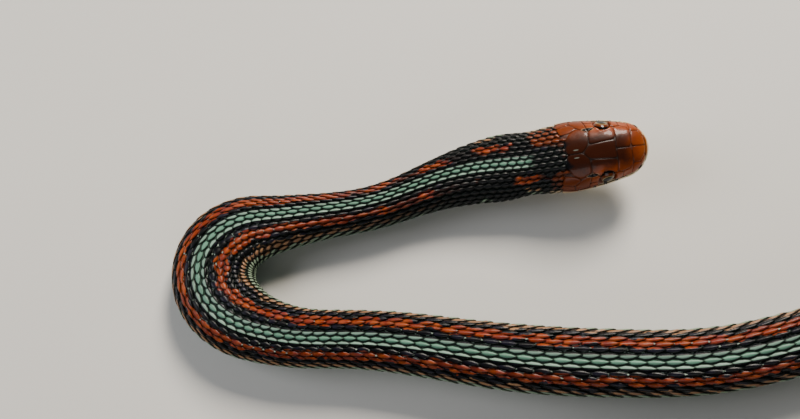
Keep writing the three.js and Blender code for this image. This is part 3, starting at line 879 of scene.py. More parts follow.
def lay_shield(outline, rise, dark_edge, seed, front_angles=None):
    """A shield filled from its middle to its outline by rings, its edge rounded down.

    The outline's corners are places and angles. Each ring is the outline drawn in towards its
    middle. The height over the form is level in the middle and falls at the edge. A shield that
    goes over the tip of the snout is drawn in seen from the front instead, with its angles kept
    between the two that front_angles gives.
    """
    corners = np.array(outline, float)
    if front_angles:
        corners = seen_from_front(corners)
    t = (np.arange(SIDE_POINTS) / SIDE_POINTS)[None, :, None]
    line = (corners[:, None] * (1 - t) + np.roll(corners, -1, axis=0)[:, None] * t).reshape(-1, 2)
    for _ in range(ROUNDING):
        line = 0.25 * np.roll(line, 1, axis=0) + 0.5 * line + 0.25 * np.roll(line, -1, axis=0)
    middle = line.mean(axis=0)
    reach = np.linalg.norm((line - middle) * (DISC_MM if front_angles else FORM_MM), axis=1)
    line = middle + (line - middle) * (1 - SUTURE / reach)[:, None]
    count = len(line)
    rings = np.append(SHIELD_RINGS, 1.0)
    grid = middle + (line - middle)[None] * rings[:, None, None]
    flat = np.concatenate([grid.reshape(-1, 2), [middle], [middle]])
    height = rise * (1 - smooth((SHIELD_RINGS - EDGE_FALL[0]) / EDGE_FALL[1]) * EDGE_FALL[2])
    level = np.repeat(np.append(height, -EDGE_DEPTH), count)
    level = np.concatenate([level, [rise, -UNDERSIDE_DEPTH]])
    rim = np.concatenate([np.repeat(rings, count), [0.0, 1.0]])
    if front_angles:
        place, angle = from_front_to_form(flat, front_angles)
    else:
        place, angle = flat.T
    place = np.maximum(place, 0.01)
    quads, triangles = tube_faces(len(rings), count)
    # The faces point out where the outline runs one way round, so the other way is turned
    a, b = line - middle, np.roll(line, -1, axis=0) - middle
    if (a[:, 0] * b[:, 1] - a[:, 1] * b[:, 0]).sum() * (-1 if front_angles else 1) < 0:
        quads, triangles = quads[:, ::-1], triangles[:, ::-1]
    facts = {
        "place": place,
        "row": np.abs(angle) / ROW_DEGREES,
        "tip": np.full(len(place), 0.6),
        "cross": np.zeros(len(place)),
        "rim": rim,
        "grain": np.full(len(place), seed),
        "lip": lip_height(place, angle),
        "edge": np.full(len(place), dark_edge),
    }
    return surface(place, angle, level), quads, triangles, facts, np.zeros((len(flat), 2))


def lip_outlines(ends, sign):
    """Outlines of a row of lip shields, between the mouth's line and their upper or lower edge."""
    found = []
    for (a, high_a), (b, high_b) in zip(ends[:-1], ends[1:]):
        along_mouth = [side(at, sign * LIP_SEAM) for at in (a, (a + b) / 2, b)]
        found.append(along_mouth + [side(b, sign * high_b), side(a, sign * high_a)])
    return found


def corner_places(names):
    """The corners that a line of names gives."""
    return [CORNERS[name] for name in names.split()]


def named_shields(piece, groups):
    """The shields of a table: piece, outline, rise and how dark the edge is."""
    return [(piece, corner_places(names), rise, dark)
            for rise, dark, group in groups for names in group.values()]


def paired_shields():
    """The shields of one side: piece, outline, rise and how dark the edge is."""
    yield from named_shields("head_shields", UPPER_SHIELDS)
    for outline, dark in zip(lip_outlines(UPPER_LIPS, 1), UPPER_LIP_EDGES):
        yield "head_shields", outline, UPPER_LIP_RISE, dark
    for outline in lip_outlines(LOWER_LIPS, -1):
        yield "chin_shields", outline, LOWER_LIP_RISE, LOWER_LIP_EDGE
    yield from named_shields("chin_shields", CHIN_SHIELDS)


def middle_shields():
    """The shields on the middle line: piece, outline, rise, dark edge and angles on the snout."""
    rise, dark, names = FRONTAL
    left = corner_places(names)
    yield "head_shields", left + mirrored(left[2:0:-1]), rise, dark, None
    rise, dark, names = ROSTRAL
    left = corner_places(names)
    yield "head_shields", left + mirrored(left[:0:-1]), rise, dark, ROSTRAL_ANGLES
    rise, dark, names = MENTAL
    left = corner_places(names)
    yield "chin_shields", left + mirrored(left[::-1]), rise, dark, MENTAL_ANGLES


# Materials

# Kinds of node: the type, its settings, the inputs that values fill in order, and the output used
PLUS, MINUS, TIMES, OVER, AT_LEAST, SIZE_OF, ROOT = [
    ("ShaderNodeMath", {"operation": operation}, (0, 1), 0)
    for operation in ("ADD", "SUBTRACT", "MULTIPLY", "DIVIDE", "MAXIMUM", "ABSOLUTE", "SQRT")
]
STEP = ("ShaderNodeMapRange", {"interpolation_type": "SMOOTHSTEP"},
        ("Value", "From Min", "From Max", "To Min", "To Max"), "Result")
BLEND = ("ShaderNodeMix", {"data_type": "RGBA"}, (0, 6, 7), 2)
SHADE = ("ShaderNodeMix", {"data_type": "RGBA", "blend_type": "MULTIPLY"}, (0, 6, 7), 2)
GREY = ("ShaderNodeCombineColor", {}, (0, 1, 2), 0)
RAMP = ("ShaderNodeValToRGB", {}, ("Fac",), "Color")
FACT = ("ShaderNodeAttribute", {}, (), "Fac")
WHERE = ("ShaderNodeTexCoord", {}, (), "Object")
NOISE = ("ShaderNodeTexNoise", {}, ("Vector", "Scale", "Detail"), "Fac")
RELIEF = ("ShaderNodeBump", {}, ("Height", "Distance", "Strength"), "Normal")
SHADER = ("ShaderNodeBsdfPrincipled", {}, (), 0)
OUTPUT = ("ShaderNodeOutputMaterial", {}, ("Surface",), None)


def add(tree, kind, *values, named=None, stops=(), **settings):
    """Adds one node with its settings, fills its inputs with values or links, gives its output."""
    node_type, fixed, inputs, output = kind
    node = tree.nodes.new(node_type)
    for key, value in {**fixed, **settings}.items():
        setattr(node, key, value)
    for key, value in [*zip(inputs, values), *(named or {}).items()]:
        socket = node.inputs[key]
        if isinstance(value, bpy.types.NodeSocket):
            tree.links.new(value, socket)
        else:
            socket.default_value = (*value, 1) if socket.type == "RGBA" else value
    for position, colour in stops[1:-1]:
        node.color_ramp.elements.new(position).color = (*colour, 1)
    for end in (0, -1) if stops else ():
        node.color_ramp.elements[end].color = (*stops[end][1], 1)
    return None if output is None else node.outputs[output]


def new_material(name):
    """A new material and its empty node tree."""
    material = bpy.data.materials.new(name)
    material.use_nodes = True
    material.node_tree.nodes.clear()
    return material, material.node_tree


def speckle(tree, size_mm, detail=3.0):
    """Soft patches of about a size in mm, 0 to 1, in the object's own coordinates."""
    return add(tree, NOISE, add(tree, WHERE), 1 / (size_mm * MM), detail)


def centred(tree, value, reach):
    """A value from 0 to 1 moved and stretched to lie evenly about 0."""
    return add(tree, TIMES, add(tree, MINUS, value, 0.5), reach)


def band(tree, value, rise, fall):
    """1 between two edges and 0 outside, each edge a smooth step between two values."""
    return add(tree, TIMES, add(tree, STEP, value, *rise), add(tree, STEP, value, *fall, 1, 0))


def spot(tree, place, row, middle, reach, edge):
    """1 inside an ellipse of places and rows and 0 outside, its edge a smooth step in its radii."""
    along = add(tree, OVER, add(tree, MINUS, place, middle[0]), reach[0])
    over = add(tree, OVER, add(tree, MINUS, row, middle[1]), reach[1])
    squares = add(tree, PLUS, add(tree, TIMES, along, along), add(tree, TIMES, over, over))
    return add(tree, STEP, add(tree, ROOT, squares), *edge, 1, 0)


def toned(tree, colour, least, spread, grain):
    """A colour times a grey of a least tone plus a spread by the grain."""
    tone = add(tree, PLUS, least, add(tree, TIMES, grain, spread))
    return add(tree, SHADE, 1.0, colour, add(tree, GREY, tone, tone, tone))


# How many rows the stripes' ramp covers, and half the width of a stripe's soft edge in rows
RAMP_REACH = 13.0
RAMP_EDGE = 0.05


def stripe_stops(looks):
    """The ramp's stops for the body's stripes, from the row where each colour begins."""
    bands = [
        (0.0, looks.back_stripe), (1.02, looks.black_band), (2.45, looks.red_stripe),
        (4.05, looks.black_band), (5.42, looks.side_stripe), (6.5, looks.lower_rows),
        (8.5, looks.belly_edge), (9.5, looks.belly),
    ]
    stops = [(0.0, looks.back_stripe)]
    for (_, before), (row, colour) in zip(bands[:-1], bands[1:]):
        stops.append(((row - RAMP_EDGE) / RAMP_REACH, before))
        stops.append(((row + RAMP_EDGE) / RAMP_REACH, colour))
    return stops + [(1.0, looks.belly)]


def body_colour(tree, looks, facts):
    """The stripes by row, their edges ragged from scale to scale, and the neck's broken stripes."""
    row, place, grain = facts["size_of_row"], facts["place"], facts["grain"]
    # Off the back's middle the stripes' edges wander, and jump from scale to scale
    shift = add(tree, PLUS, centred(tree, speckle(tree, 2.2), 3.4), centred(tree, grain, 0.3))
    shift = add(tree, TIMES, shift, add(tree, STEP, row, 1.5, 2.3))
    # On the tail the back's stripe narrows to its middle row
    narrowed = add(tree, TIMES, add(tree, STEP, place, 392, 440), add(tree, STEP, row, 0.3, 0.6))
    shift = add(tree, PLUS, shift, add(tree, TIMES, narrowed, 0.55))
    shifted = add(tree, AT_LEAST, add(tree, PLUS, row, shift), 0.0)
    colour = add(tree, RAMP, add(tree, OVER, shifted, RAMP_REACH), stops=stripe_stops(looks))
    # Lighter patches in the red
    patches = add(tree, STEP, speckle(tree, 1.3), 0.42, 0.62)
    patches = add(tree, TIMES, band(tree, shifted, (2.4, 2.5), (4.0, 4.1)), patches)
    colour = add(tree, BLEND, patches, colour, looks.red_pale)
    # The scales beside the middle row of the back are paler than it
    beside = add(tree, TIMES, band(tree, row, (0.46, 0.54), (0.98, 1.06)), 0.35)
    colour = add(tree, BLEND, beside, colour, looks.flecks)
    # Painted sheen: here and there the black scales take a blue to purple tint, standing in for the
    # sheen that light gives them
    painted_sheen = add(tree, STEP, speckle(tree, 1.7, 2.0), 0.45, 0.62)
    painted_sheen = add(tree, TIMES, add(tree, TIMES, painted_sheen, add(tree, STEP, row, 1.1, 1.3)), 0.10)
    colour = add(tree, BLEND, painted_sheen, colour, looks.painted_black_sheen)
    # On the neck the red is broken into patches, fewest low on the sides and on the left; the extra
    # black on the left is painted shade of the side away from the light
    gap = add(tree, MINUS, speckle(tree, 5.0, 1.0), centred(tree, grain, 0.12))
    fewer_low_and_shaded_left = add(tree, PLUS, add(tree, STEP, facts["row"], 0.0, 1.5), add(tree, STEP, row, 4.2, 5.2))
    gap = add(tree, PLUS, gap, add(tree, TIMES, fewer_low_and_shaded_left, 0.06))
    gap = add(tree, TIMES, add(tree, STEP, gap, 0.47, 0.55), add(tree, STEP, place, 24, 52, 1, 0))
    gap = add(tree, TIMES, gap, band(tree, row, (1.05, 1.2), (8.6, 9.4)))
    colour = add(tree, BLEND, gap, colour, looks.black_band)
    # The pale stripe of the back starts a little behind the head
    before = add(tree, TIMES, add(tree, STEP, place, 15.6, 17.2, 1, 0),
                 add(tree, STEP, row, 1.0, 1.3, 1, 0))
    return add(tree, BLEND, before, colour, looks.black_band)


# Where the black bars under the eye stand
LIP_BARS = (4.75, 6.25, 7.8)


def head_colour(tree, looks, facts):
    """The head: dark red-brown crown, rust sides, golden snout, pale lips and a cream chin."""
    row, place, lip = facts["size_of_row"], facts["place"], facts["lip"]
    mottle = centred(tree, speckle(tree, 1.4), 2.0)
    mottled_row, mottled_place = add(tree, PLUS, row, mottle), add(tree, PLUS, place, mottle)
    front = add(tree, TIMES, add(tree, STEP, mottled_place, 1.0, 4.2, 1, 0), 0.7)
    bright = add(tree, AT_LEAST, add(tree, STEP, mottled_row, 1.7, 3.9), front)
    colour = add(tree, BLEND, bright, looks.crown, looks.head_rust)
    golden = add(tree, TIMES, add(tree, STEP, mottled_place, 0.2, 1.8, 1, 0), 0.6)
    colour = add(tree, BLEND, golden, colour, looks.snout)
    back_of_head = add(tree, TIMES, add(tree, STEP, mottled_place, 7.4, 9.4), 0.5)
    colour = add(tree, BLEND, back_of_head, colour, looks.crown)
    # A black blotch with a pale rim behind each eye, and a pale streak on each parietal
    at, reach = (8.3, 3.6), (0.8, 0.3)
    rim = add(tree, MINUS, spot(tree, place, row, at, reach, (1.0, 1.5)), 0.75, use_clamp=True)
    colour = add(tree, BLEND, rim, colour, looks.lips)
    colour = add(tree, BLEND, spot(tree, place, row, at, reach, (0.8, 1.0)), colour, looks.black_band)
    streak = spot(tree, place, row, (10.3, 0.5), (0.42, 0.10), (0.6, 1.5))
    streak = add(tree, MINUS, streak, 0.7, use_clamp=True)
    colour = add(tree, BLEND, streak, colour, looks.flecks)
    # Pale lips, which reach highest at the tip of the snout
    snout = add(tree, STEP, place, 3.0, 10.0, 1, 0)
    above = add(tree, PLUS, lip, add(tree, TIMES, mottle, 0.25))
    above = add(tree, MINUS, above, add(tree, TIMES, snout, 0.3))
    above = add(tree, MINUS, above, add(tree, TIMES, add(tree, STEP, place, 0.4, 2.6, 1, 0), 0.65))
    pale = add(tree, TIMES, add(tree, STEP, above, 0.65, 1.15, 1, 0),
               add(tree, PLUS, 0.55, add(tree, TIMES, snout, 0.45)))
    colour = add(tree, BLEND, pale, colour, looks.lips)
    # Black bars on the lip shields under the eye, and a dark nostril
    for bar_at in LIP_BARS:
        bar = spot(tree, place, lip, (bar_at, 0.85), (0.26, 0.65), (0.7, 1.1))
        colour = add(tree, BLEND, bar, colour, looks.black_band)
    at = (NOSTRIL["along"], NOSTRIL["up"] - MOUTH[1][1] + 0.07)
    nostril = spot(tree, place, lip, at, (0.34, 0.34), (0.75, 1.15))
    colour = add(tree, BLEND, nostril, colour, looks.black_band)
    return add(tree, BLEND, add(tree, STEP, lip, -0.7, 0.0, 1, 0), colour, looks.chin)


def markings(tree, looks):
    """The colour that skin, scales and shields share, and the facts at each point that give it."""
    facts = {name: add(tree, FACT, attribute_name=name) for name in ("place", "row", "grain", "lip")}
    row = facts["size_of_row"] = add(tree, SIZE_OF, facts["row"])
    body, head = body_colour(tree, looks, facts), head_colour(tree, looks, facts)
    throat = add(tree, TIMES, add(tree, STEP, row, 9.0, 9.8),
                 add(tree, STEP, facts["place"], 15.0, 34.0, 1, 0))
    body = add(tree, BLEND, throat, body, looks.chin)
    # The head's rust reaches further back on the sides than on the nape, most on the right side; its
    # shorter reach on the left is painted shade of the side away from the light
    ends = add(tree, PLUS, 11.9, add(tree, TIMES, add(tree, STEP, row, 0.9, 3.6), 4.0))
    ends = add(tree, PLUS, ends, centred(tree, speckle(tree, 2.0, 2.0), 2.4))
    left_painted_shade = add(tree, TIMES, add(tree, STEP, facts["row"], 0.5, 2.0), 2.2)
    ends = add(tree, MINUS, ends, left_painted_shade)
    behind = add(tree, STEP, add(tree, MINUS, facts["place"], ends), -0.35, 0.35)
    return add(tree, BLEND, behind, head, body), facts


# The places over which the pale flecks of the second and third rows come in
FLECK_PLACES = (30.0, 60.0)


def scale_material(looks):
    """Keratin scales, satin: each is edged dark, paler in its middle, with a faint oily sheen."""
    material, tree = new_material("satin_keratin_scales")
    colour, facts = markings(tree, looks)
    row, place, grain = facts["size_of_row"], facts["place"], facts["grain"]
    rim, tip, cross = (add(tree, FACT, attribute_name=name) for name in ("rim", "tip", "cross"))
    # Dark diagonal marks on the side stripe and on the rows below it
    slant = add(tree, PLUS, add(tree, TIMES, cross, 0.28), 0.42)
    slant = add(tree, PLUS, add(tree, MINUS, slant, tip), centred(tree, grain, 0.35))
    mark = add(tree, TIMES, add(tree, STEP, slant, -0.04, 0.04), band(tree, row, (5.3, 5.7), (9.3, 9.7)))
    colour = add(tree, BLEND, add(tree, TIMES, mark, 0.92), colour, looks.black_band)
    # Dark edges all round, which draw each scale: wider on the neck, softer in the red
    widened = add(tree, TIMES, add(tree, STEP, place, 30.0, 50.0, 1, 0), 0.1)
    edge = add(tree, STEP, add(tree, PLUS, rim, widened), 0.60, 0.84)
    in_red = add(tree, TIMES, band(tree, row, (2.0, 2.4), (3.9, 4.3)), 0.58)
    edge = add(tree, TIMES, edge, add(tree, MINUS, 0.9, in_red))
    colour = add(tree, BLEND, edge, colour, looks.scale_edge)
    # Pale flecks at the tips of black scales, as where the skin shows between them
    fleck = add(tree, TIMES, add(tree, STEP, tip, 0.84, 0.92),
                add(tree, STEP, speckle(tree, 0.7, 1.0), 0.56, 0.64))
    fleck = add(tree, TIMES, fleck, add(tree, STEP, place, *FLECK_PLACES))
    fleck = add(tree, TIMES, fleck, band(tree, row, (1.15, 1.4), (2.9, 3.4)))
    colour = add(tree, BLEND, fleck, colour, looks.flecks)
    colour = toned(tree, colour, 0.82, 0.34, grain)
    colour = toned(tree, colour, 0.88, 0.24, speckle(tree, 0.5, 4.0))
    height = add(tree, PLUS, speckle(tree, 0.16), add(tree, TIMES, speckle(tree, 0.6, 2.0), 0.8))
    rough = add(tree, PLUS, 0.26, add(tree, TIMES, speckle(tree, 0.9, 2.0), 0.2))
    shader = add(tree, SHADER, named={
        "Base Color": colour, "Roughness": rough, "IOR": 1.54, "Specular IOR Level": 0.16,
        "Normal": add(tree, RELIEF, height, 0.00003, 0.6),
    })
    add(tree, OUTPUT, shader)
    return material


def shield_material(looks):
    """Keratin shields of the head, smooth and glossy: the light draws small bright spots on them."""
    material, tree = new_material("glossy_keratin_shields")
    colour = markings(tree, looks)[0]
    rim, darkness = (add(tree, FACT, attribute_name=name) for name in ("rim", "edge"))
    edge = add(tree, TIMES, add(tree, STEP, rim, 0.86, 0.99), darkness)
    colour = add(tree, BLEND, edge, colour, looks.scale_edge)
    colour = toned(tree, colour, 0.90, 0.2, speckle(tree, 0.35, 4.0))
    height = add(tree, PLUS, speckle(tree, 0.9, 2.0), add(tree, TIMES, speckle(tree, 0.14), 0.25))
    shader = add(tree, SHADER, named={
        "Base Color": colour, "Roughness": 0.36, "IOR": 1.54, "Specular IOR Level": 0.09,
        "Coat Weight": 0.12, "Coat Roughness": 0.07,
        "Normal": add(tree, RELIEF, height, 0.00005, 0.5),
    })
    add(tree, OUTPUT, shader)
    return material


def skin_material(looks):
    """Soft skin between the scales: darker and duller than they are, and finely wrinkled."""
    material, tree = new_material("soft_skin_between_scales")
    colour, facts = markings(tree, looks)
    row, place = facts["size_of_row"], facts["place"]
    darker = add(tree, PLUS, 0.45, add(tree, TIMES, add(tree, STEP, place, 11.5, 14.0), 0.3))
    colour = add(tree, BLEND, darker, colour, looks.scale_edge)
    fleck = add(tree, TIMES, add(tree, STEP, speckle(tree, 0.7, 1.0), 0.58, 0.64),
                band(tree, row, (1.2, 1.5), (2.8, 3.4)))
    fleck = add(tree, TIMES, fleck, add(tree, STEP, place, *FLECK_PLACES))
    colour = add(tree, BLEND, fleck, colour, looks.flecks)
    shader = add(tree, SHADER, named={
        "Base Color": colour, "Roughness": 0.55, "IOR": 1.45,
        "Normal": add(tree, RELIEF, speckle(tree, 0.22, 4.0), 0.00006, 0.7),
    })
    add(tree, OUTPUT, shader)
    return material


def eye_material(looks):
    """A wet eye under its clear scale: wide black pupil, thin pale ring, rust iris, hard gloss."""
    material, tree = new_material("clear_scaled_eye")
    degrees = add(tree, PLUS, add(tree, FACT, attribute_name="ring"),
                  centred(tree, speckle(tree, 0.25), 2.0))
    stops = [(0.0, looks.pupil), (0.275, looks.pupil), (0.29, looks.eye_ring), (0.315, looks.eye_ring),
             (0.345, looks.iris), (0.44, looks.iris), (0.52, looks.pupil), (1.0, looks.pupil)]
    shader = add(tree, SHADER, named={
        "Base Color": add(tree, RAMP, add(tree, OVER, degrees, 100.0), stops=stops),
        "Roughness": 0.2, "IOR": 1.33, "Specular IOR Level": 0.1,
        "Coat Weight": 0.5, "Coat Roughness": 0.03, "Coat IOR": 1.33,
    })
    add(tree, OUTPUT, shader)
    return material


def floor_material(looks):
    """A matt painted board, slightly uneven in tone, which gives the eye a calm pale ground."""
    material, tree = new_material("matt_painted_board")
    colour = toned(tree, looks.floor, 0.96, 0.08, speckle(tree, 60.0))
    add(tree, OUTPUT, add(tree, SHADER, named={"Base Color": colour, "Roughness": 0.6}))
    return material


def material_of(name, make, looks):
    """A material made once and found again by its name."""
    return bpy.data.materials.get(name) or make(looks)


# Settings


def colour_setting(name, description, hex_colour):
    """A colour that the sidebar shows, its default an sRGB hex colour."""
    return bpy.props.FloatVectorProperty(
        name=name, description=description, subtype="COLOR", default=linear(hex_colour),
        min=0.0, max=1.0)


class SnakeLooks(bpy.types.PropertyGroup):
    """Colours and sizes of the snake's coat."""

    back_stripe: colour_setting("Back stripe", "Pale stripe along the middle of the back", "#587F6B")
    black_band: colour_setting("Black bands", "Bands between the stripes", "#07070A")
    # The black's tint is a painted sheen: blue to purple on black scales, standing in for their sheen
    painted_black_sheen: colour_setting("Black's tint", "Blue to purple tint of black scales", "#3A3558")
    red_stripe: colour_setting("Red stripes", "Stripe along the upper side", "#6C2409")
    red_pale: colour_setting("Pale red", "Lighter patches in the red stripes", "#853A12")
    side_stripe: colour_setting("Side stripe", "Pale stripe low on the side", "#8C6748")
    lower_rows: colour_setting("Lower rows", "Scales under the side stripe", "#7C8E76")
    belly_edge: colour_setting("Belly edge", "The row that meets the belly", "#4E7A68")
    belly: colour_setting("Belly", "Belly scutes", "#7FA596")
    scale_edge: colour_setting("Scale edges", "Rim of each scale and the skin between", "#08100C")
    flecks: colour_setting("Flecks", "Pale flecks beside the back stripe", "#98A89B")
    crown: colour_setting("Crown", "Middle of the head's top", "#2C1005")
    head_rust: colour_setting("Head", "Sides and front of the head", "#82370D")
    snout: colour_setting("Snout", "Tip of the snout", "#7C4812")
    lips: colour_setting("Lips", "Lip shields at the snout", "#D9C59C")
    chin: colour_setting("Chin", "Chin and throat", "#D8CDAE")
    pupil: colour_setting("Pupil", "The eye's pupil", "#050505")
    eye_ring: colour_setting("Eye ring", "Thin ring round the pupil", "#8A7752")
    iris: colour_setting("Iris", "The eye round its pupil", "#5A2A12")
    floor: colour_setting("Floor", "The floor under the snake", "#C9C7C1")
    skin_depth: bpy.props.FloatProperty(
        name="Skin depth", description="How deep the skin lies under the scales", unit="LENGTH",
        default=0.00030, min=0.0001, max=0.001)
    keel: bpy.props.FloatProperty(
        name="Keel", description="Height of the keel on each back scale", unit="LENGTH",
        default=0.00007, min=0.0, max=0.0003)


# The solids that the skin stands in for: all but the eyes
FLESH_NODES = [name for name in sorted(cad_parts) if not name.startswith("eye_")]

# The skin's rings: the first two, how many round the snout, their steps along the head and the
# body, and where they stand in the tail's rounded end; its columns above and below the mouth's
# line, and the power by which they crowd towards it
FIRST_RINGS = [0.004, 0.012]
SNOUT_RINGS = 30
HEAD_STEP = 0.12
BODY_STEP = 0.95
TAIL_RINGS = np.array([0.9, 0.7, 0.5, 0.3, 0.15, 0.05, 0.01])
UPPER_COLUMNS = 36
LOWER_COLUMNS = 20
CROWDING = 1.25

# The skin's depth: under the shields, then by the scales' spacing and at most a share of the
# width, from a little before the shields' end and over a short length; and the place up to which
# the skin's rows are the shields' own
UNDER_SHIELD_DEPTH = 0.06
DEPTH_BY_SPACING = (0.54, 0.1)
DEPTH_BY_WIDTH = 0.15
DEEPER_BEHIND = (0.7, 0.8)
SHIELD_ROWS_END = 12.0


def mouth_angle(place):
    """The angle that the skin's columns follow: the mouth's line, then the edge of the belly."""
    at_mouth = angle_of(place, up=mouth_height(np.minimum(place, MOUTH_CORNER)))
    return at_mouth + (BELLY_EDGE - at_mouth) * smooth((place - MOUTH_CORNER) / 8)


def skin_places():
    """Where the skin's rings stand: close on the head, wider along the body."""
    snout = SNOUT_ROUND * (1 - np.cos(np.arange(1, SNOUT_RINGS) / SNOUT_RINGS * math.pi / 2))
    head = np.arange(SNOUT_ROUND, HEAD_LENGTH + 1, HEAD_STEP)
    body = np.arange(head[-1] + 0.6, TOTAL_LENGTH - TAIL_ROUND, BODY_STEP)
    tail = TOTAL_LENGTH - TAIL_ROUND * TAIL_RINGS
    return np.concatenate([FIRST_RINGS, snout, head, body, tail])


def skin_angles(place):
    """The angles of each ring's columns, which crowd towards the mouth's line by a power."""
    middle = mouth_angle(place)[:, None]
    above = np.linspace(1, 0, UPPER_COLUMNS + 1)[None, :]
    below = np.linspace(0, 1, LOWER_COLUMNS + 1)[None, 1:]
    high = middle * (1 - above ** CROWDING)
    low = middle + (180 - middle) * below ** CROWDING
    half = np.concatenate([high, low], axis=1)
    return np.concatenate([half, 360 - half[:, -2:0:-1]], axis=1)


def rows_at(place, angle):
    """The row of each point of the rings, read back from the angles of known rows."""
    known_rows = np.arange(-BELLY_ROW, BELLY_ROW + 0.1, ROW_STEP)
    known = row_angle(place[:, None], known_rows[None, :])
    return np.stack([np.interp(angle[i], known[i], known_rows) for i in range(len(place))])


def skin_depth(place, row, full):
    """How deep the skin lies: near the surface under the shields, a scale's depth behind them."""
    by_spacing = read_table(SPACING, place) * DEPTH_BY_SPACING[0] + DEPTH_BY_SPACING[1]
    deep = full * np.minimum(1, by_spacing)
    deep = np.minimum(deep, read_table(SIZES, place, WIDTH) * DEPTH_BY_WIDTH)[:, None]
    behind = smooth((place[:, None] - shields_end(row) + DEEPER_BEHIND[0]) / DEEPER_BEHIND[1])
    return UNDER_SHIELD_DEPTH + (deep - UNDER_SHIELD_DEPTH) * behind


class SNAKE_OT_skin(bpy.types.Operator):
    """Lay one skin over the whole body, a scale's depth inside the solids"""

    bl_idname = "snake.skin"
    bl_label = "Skin"

    def execute(self, context):
        """Rings along the body, joined to a tube and closed at both ends."""
        looks = context.scene.snake_looks
        place = skin_places()
        angle = skin_angles(place)
        signed = np.mod(angle + 180, 360) - 180
        row = rows_at(place, signed)
        rings = surface(place[:, None], angle, -skin_depth(place, row, looks.skin_depth / MM))
        points = np.concatenate([rings.reshape(-1, 3), rings[[0, -1]].mean(axis=1)])
        row = np.where((place < SHIELD_ROWS_END)[:, None], np.abs(signed) / ROW_DEGREES, row)
        facts = {
            "place": np.append(np.repeat(place, angle.shape[1]), [0, TOTAL_LENGTH]),
            "row": np.append(row, [0, 0]),
            "tip": np.full(len(points), 0.5),
            "cross": np.zeros(len(points)),
            "rim": np.zeros(len(points)),
            "grain": np.full(len(points), 0.5),
            "lip": np.append(lip_height(place[:, None], angle), [0.2, 1]),
        }
        make_piece("skin", points, *tube_faces(*angle.shape), facts,
                   material_of("soft_skin_between_scales", skin_material, looks),
                   "striped_scales", FLESH_NODES)
        return {"FINISHED"}


# How many pieces share the back's scales, and how much a scale's place differs by chance, in mm
COAT_PIECES = 4
PLACE_SPREAD = 0.02


class SNAKE_OT_back_scales(bpy.types.Operator):
    """Lay the keeled scales of the back and sides, nineteen rows of them"""

    bl_idname = "snake.back_scales"
    bl_label = "Back scales"

    def execute(self, context):
        """The scales in order from the head, shared out over a few pieces of like length."""
        looks = context.scene.snake_looks
        rng = np.random.default_rng(SEED)
        place, row = back_scale_places()
        order = np.argsort(place, kind="stable")
        place, row = place[order], row[order]
        place = place + rng.normal(0, PLACE_SPREAD, len(place))
        material = material_of("satin_keratin_scales", scale_material, looks)
        for number, share in enumerate(np.array_split(np.arange(len(place)), COAT_PIECES)):
            made = lay_scales(place[share], row[share], BACK_SCALE, looks.keel / MM, rng)
            make_piece(f"back_scales_{number + 1}", *made[:4], material, "striped_scales",
                       patches=made[4])
        return {"FINISHED"}


class SNAKE_OT_belly_scutes(bpy.types.Operator):
    """Lay the wide scutes of the belly, the paired ones of the tail and the small throat scales"""

    bl_idname = "snake.belly_scutes"
    bl_label = "Belly scutes"

    def execute(self, context):
        """One scute to each scale length, then pairs that stand a quarter before and behind it."""
        looks = context.scene.snake_looks
        rng = np.random.default_rng(SEED + 1)
        fine = np.arange(0, TOTAL_LENGTH, FINE_STEP)
        number = counted(fine)
        edge = BELLY_EDGE - SCUTE["past_edge"]
        single = np.arange(math.ceil(counted(BELLY_STARTS)), int(counted(PAIRS_START)))
        parts = [lay_scutes(np.interp(single, number, fine), edge, 360 - edge, SCUTE, rng)]
        pairs = np.arange(int(counted(PAIRS_START)), int(counted(TOTAL_LENGTH - TAIL_ROUND)))
        for shift, low, high in ((0.25, edge, 180 - TAIL_GAP), (-0.25, 180 + TAIL_GAP, 360 - edge)):
            place = np.interp(pairs + shift, number, fine)
            parts.append(lay_scutes(place, low, high, TAIL_SCUTE, rng))
        parts.append(lay_scales(*throat_scale_places(), THROAT_SCALE, 0.0, rng))
        made = joined(parts)
        make_piece("belly_scutes", *made[:4], material_of("satin_keratin_scales", scale_material, looks),
                   "striped_scales", patches=made[4])
        return {"FINISHED"}


class SNAKE_OT_head_shields(bpy.types.Operator):
    """Lay the shields of the crown, cheeks, lips and chin"""

    bl_idname = "snake.head_shields"
    bl_label = "Head shields"

    def execute(self, context):
        """Each shield of a side and its mirror image, then those on the middle line."""
        looks = context.scene.snake_looks
        rng = np.random.default_rng(SEED + 2)
        parts = {"head_shields": [], "chin_shields": []}
        for piece, outline, rise, dark in paired_shields():
            for shape in (outline, mirrored(outline)):
                parts[piece].append(lay_shield(shape, rise, dark, rng.random()))
        for piece, outline, rise, dark, angles in middle_shields():
            parts[piece].append(lay_shield(outline, rise, dark, rng.random(), angles))
        material = material_of("glossy_keratin_shields", shield_material, looks)
        for piece, slot in (("head_shields", "head_shields"), ("chin_shields", "chin")):
            make_piece(piece, *joined(parts[piece])[:4], material, slot)
        return {"FINISHED"}


EYE_RINGS = 40
EYE_COLUMNS = 48


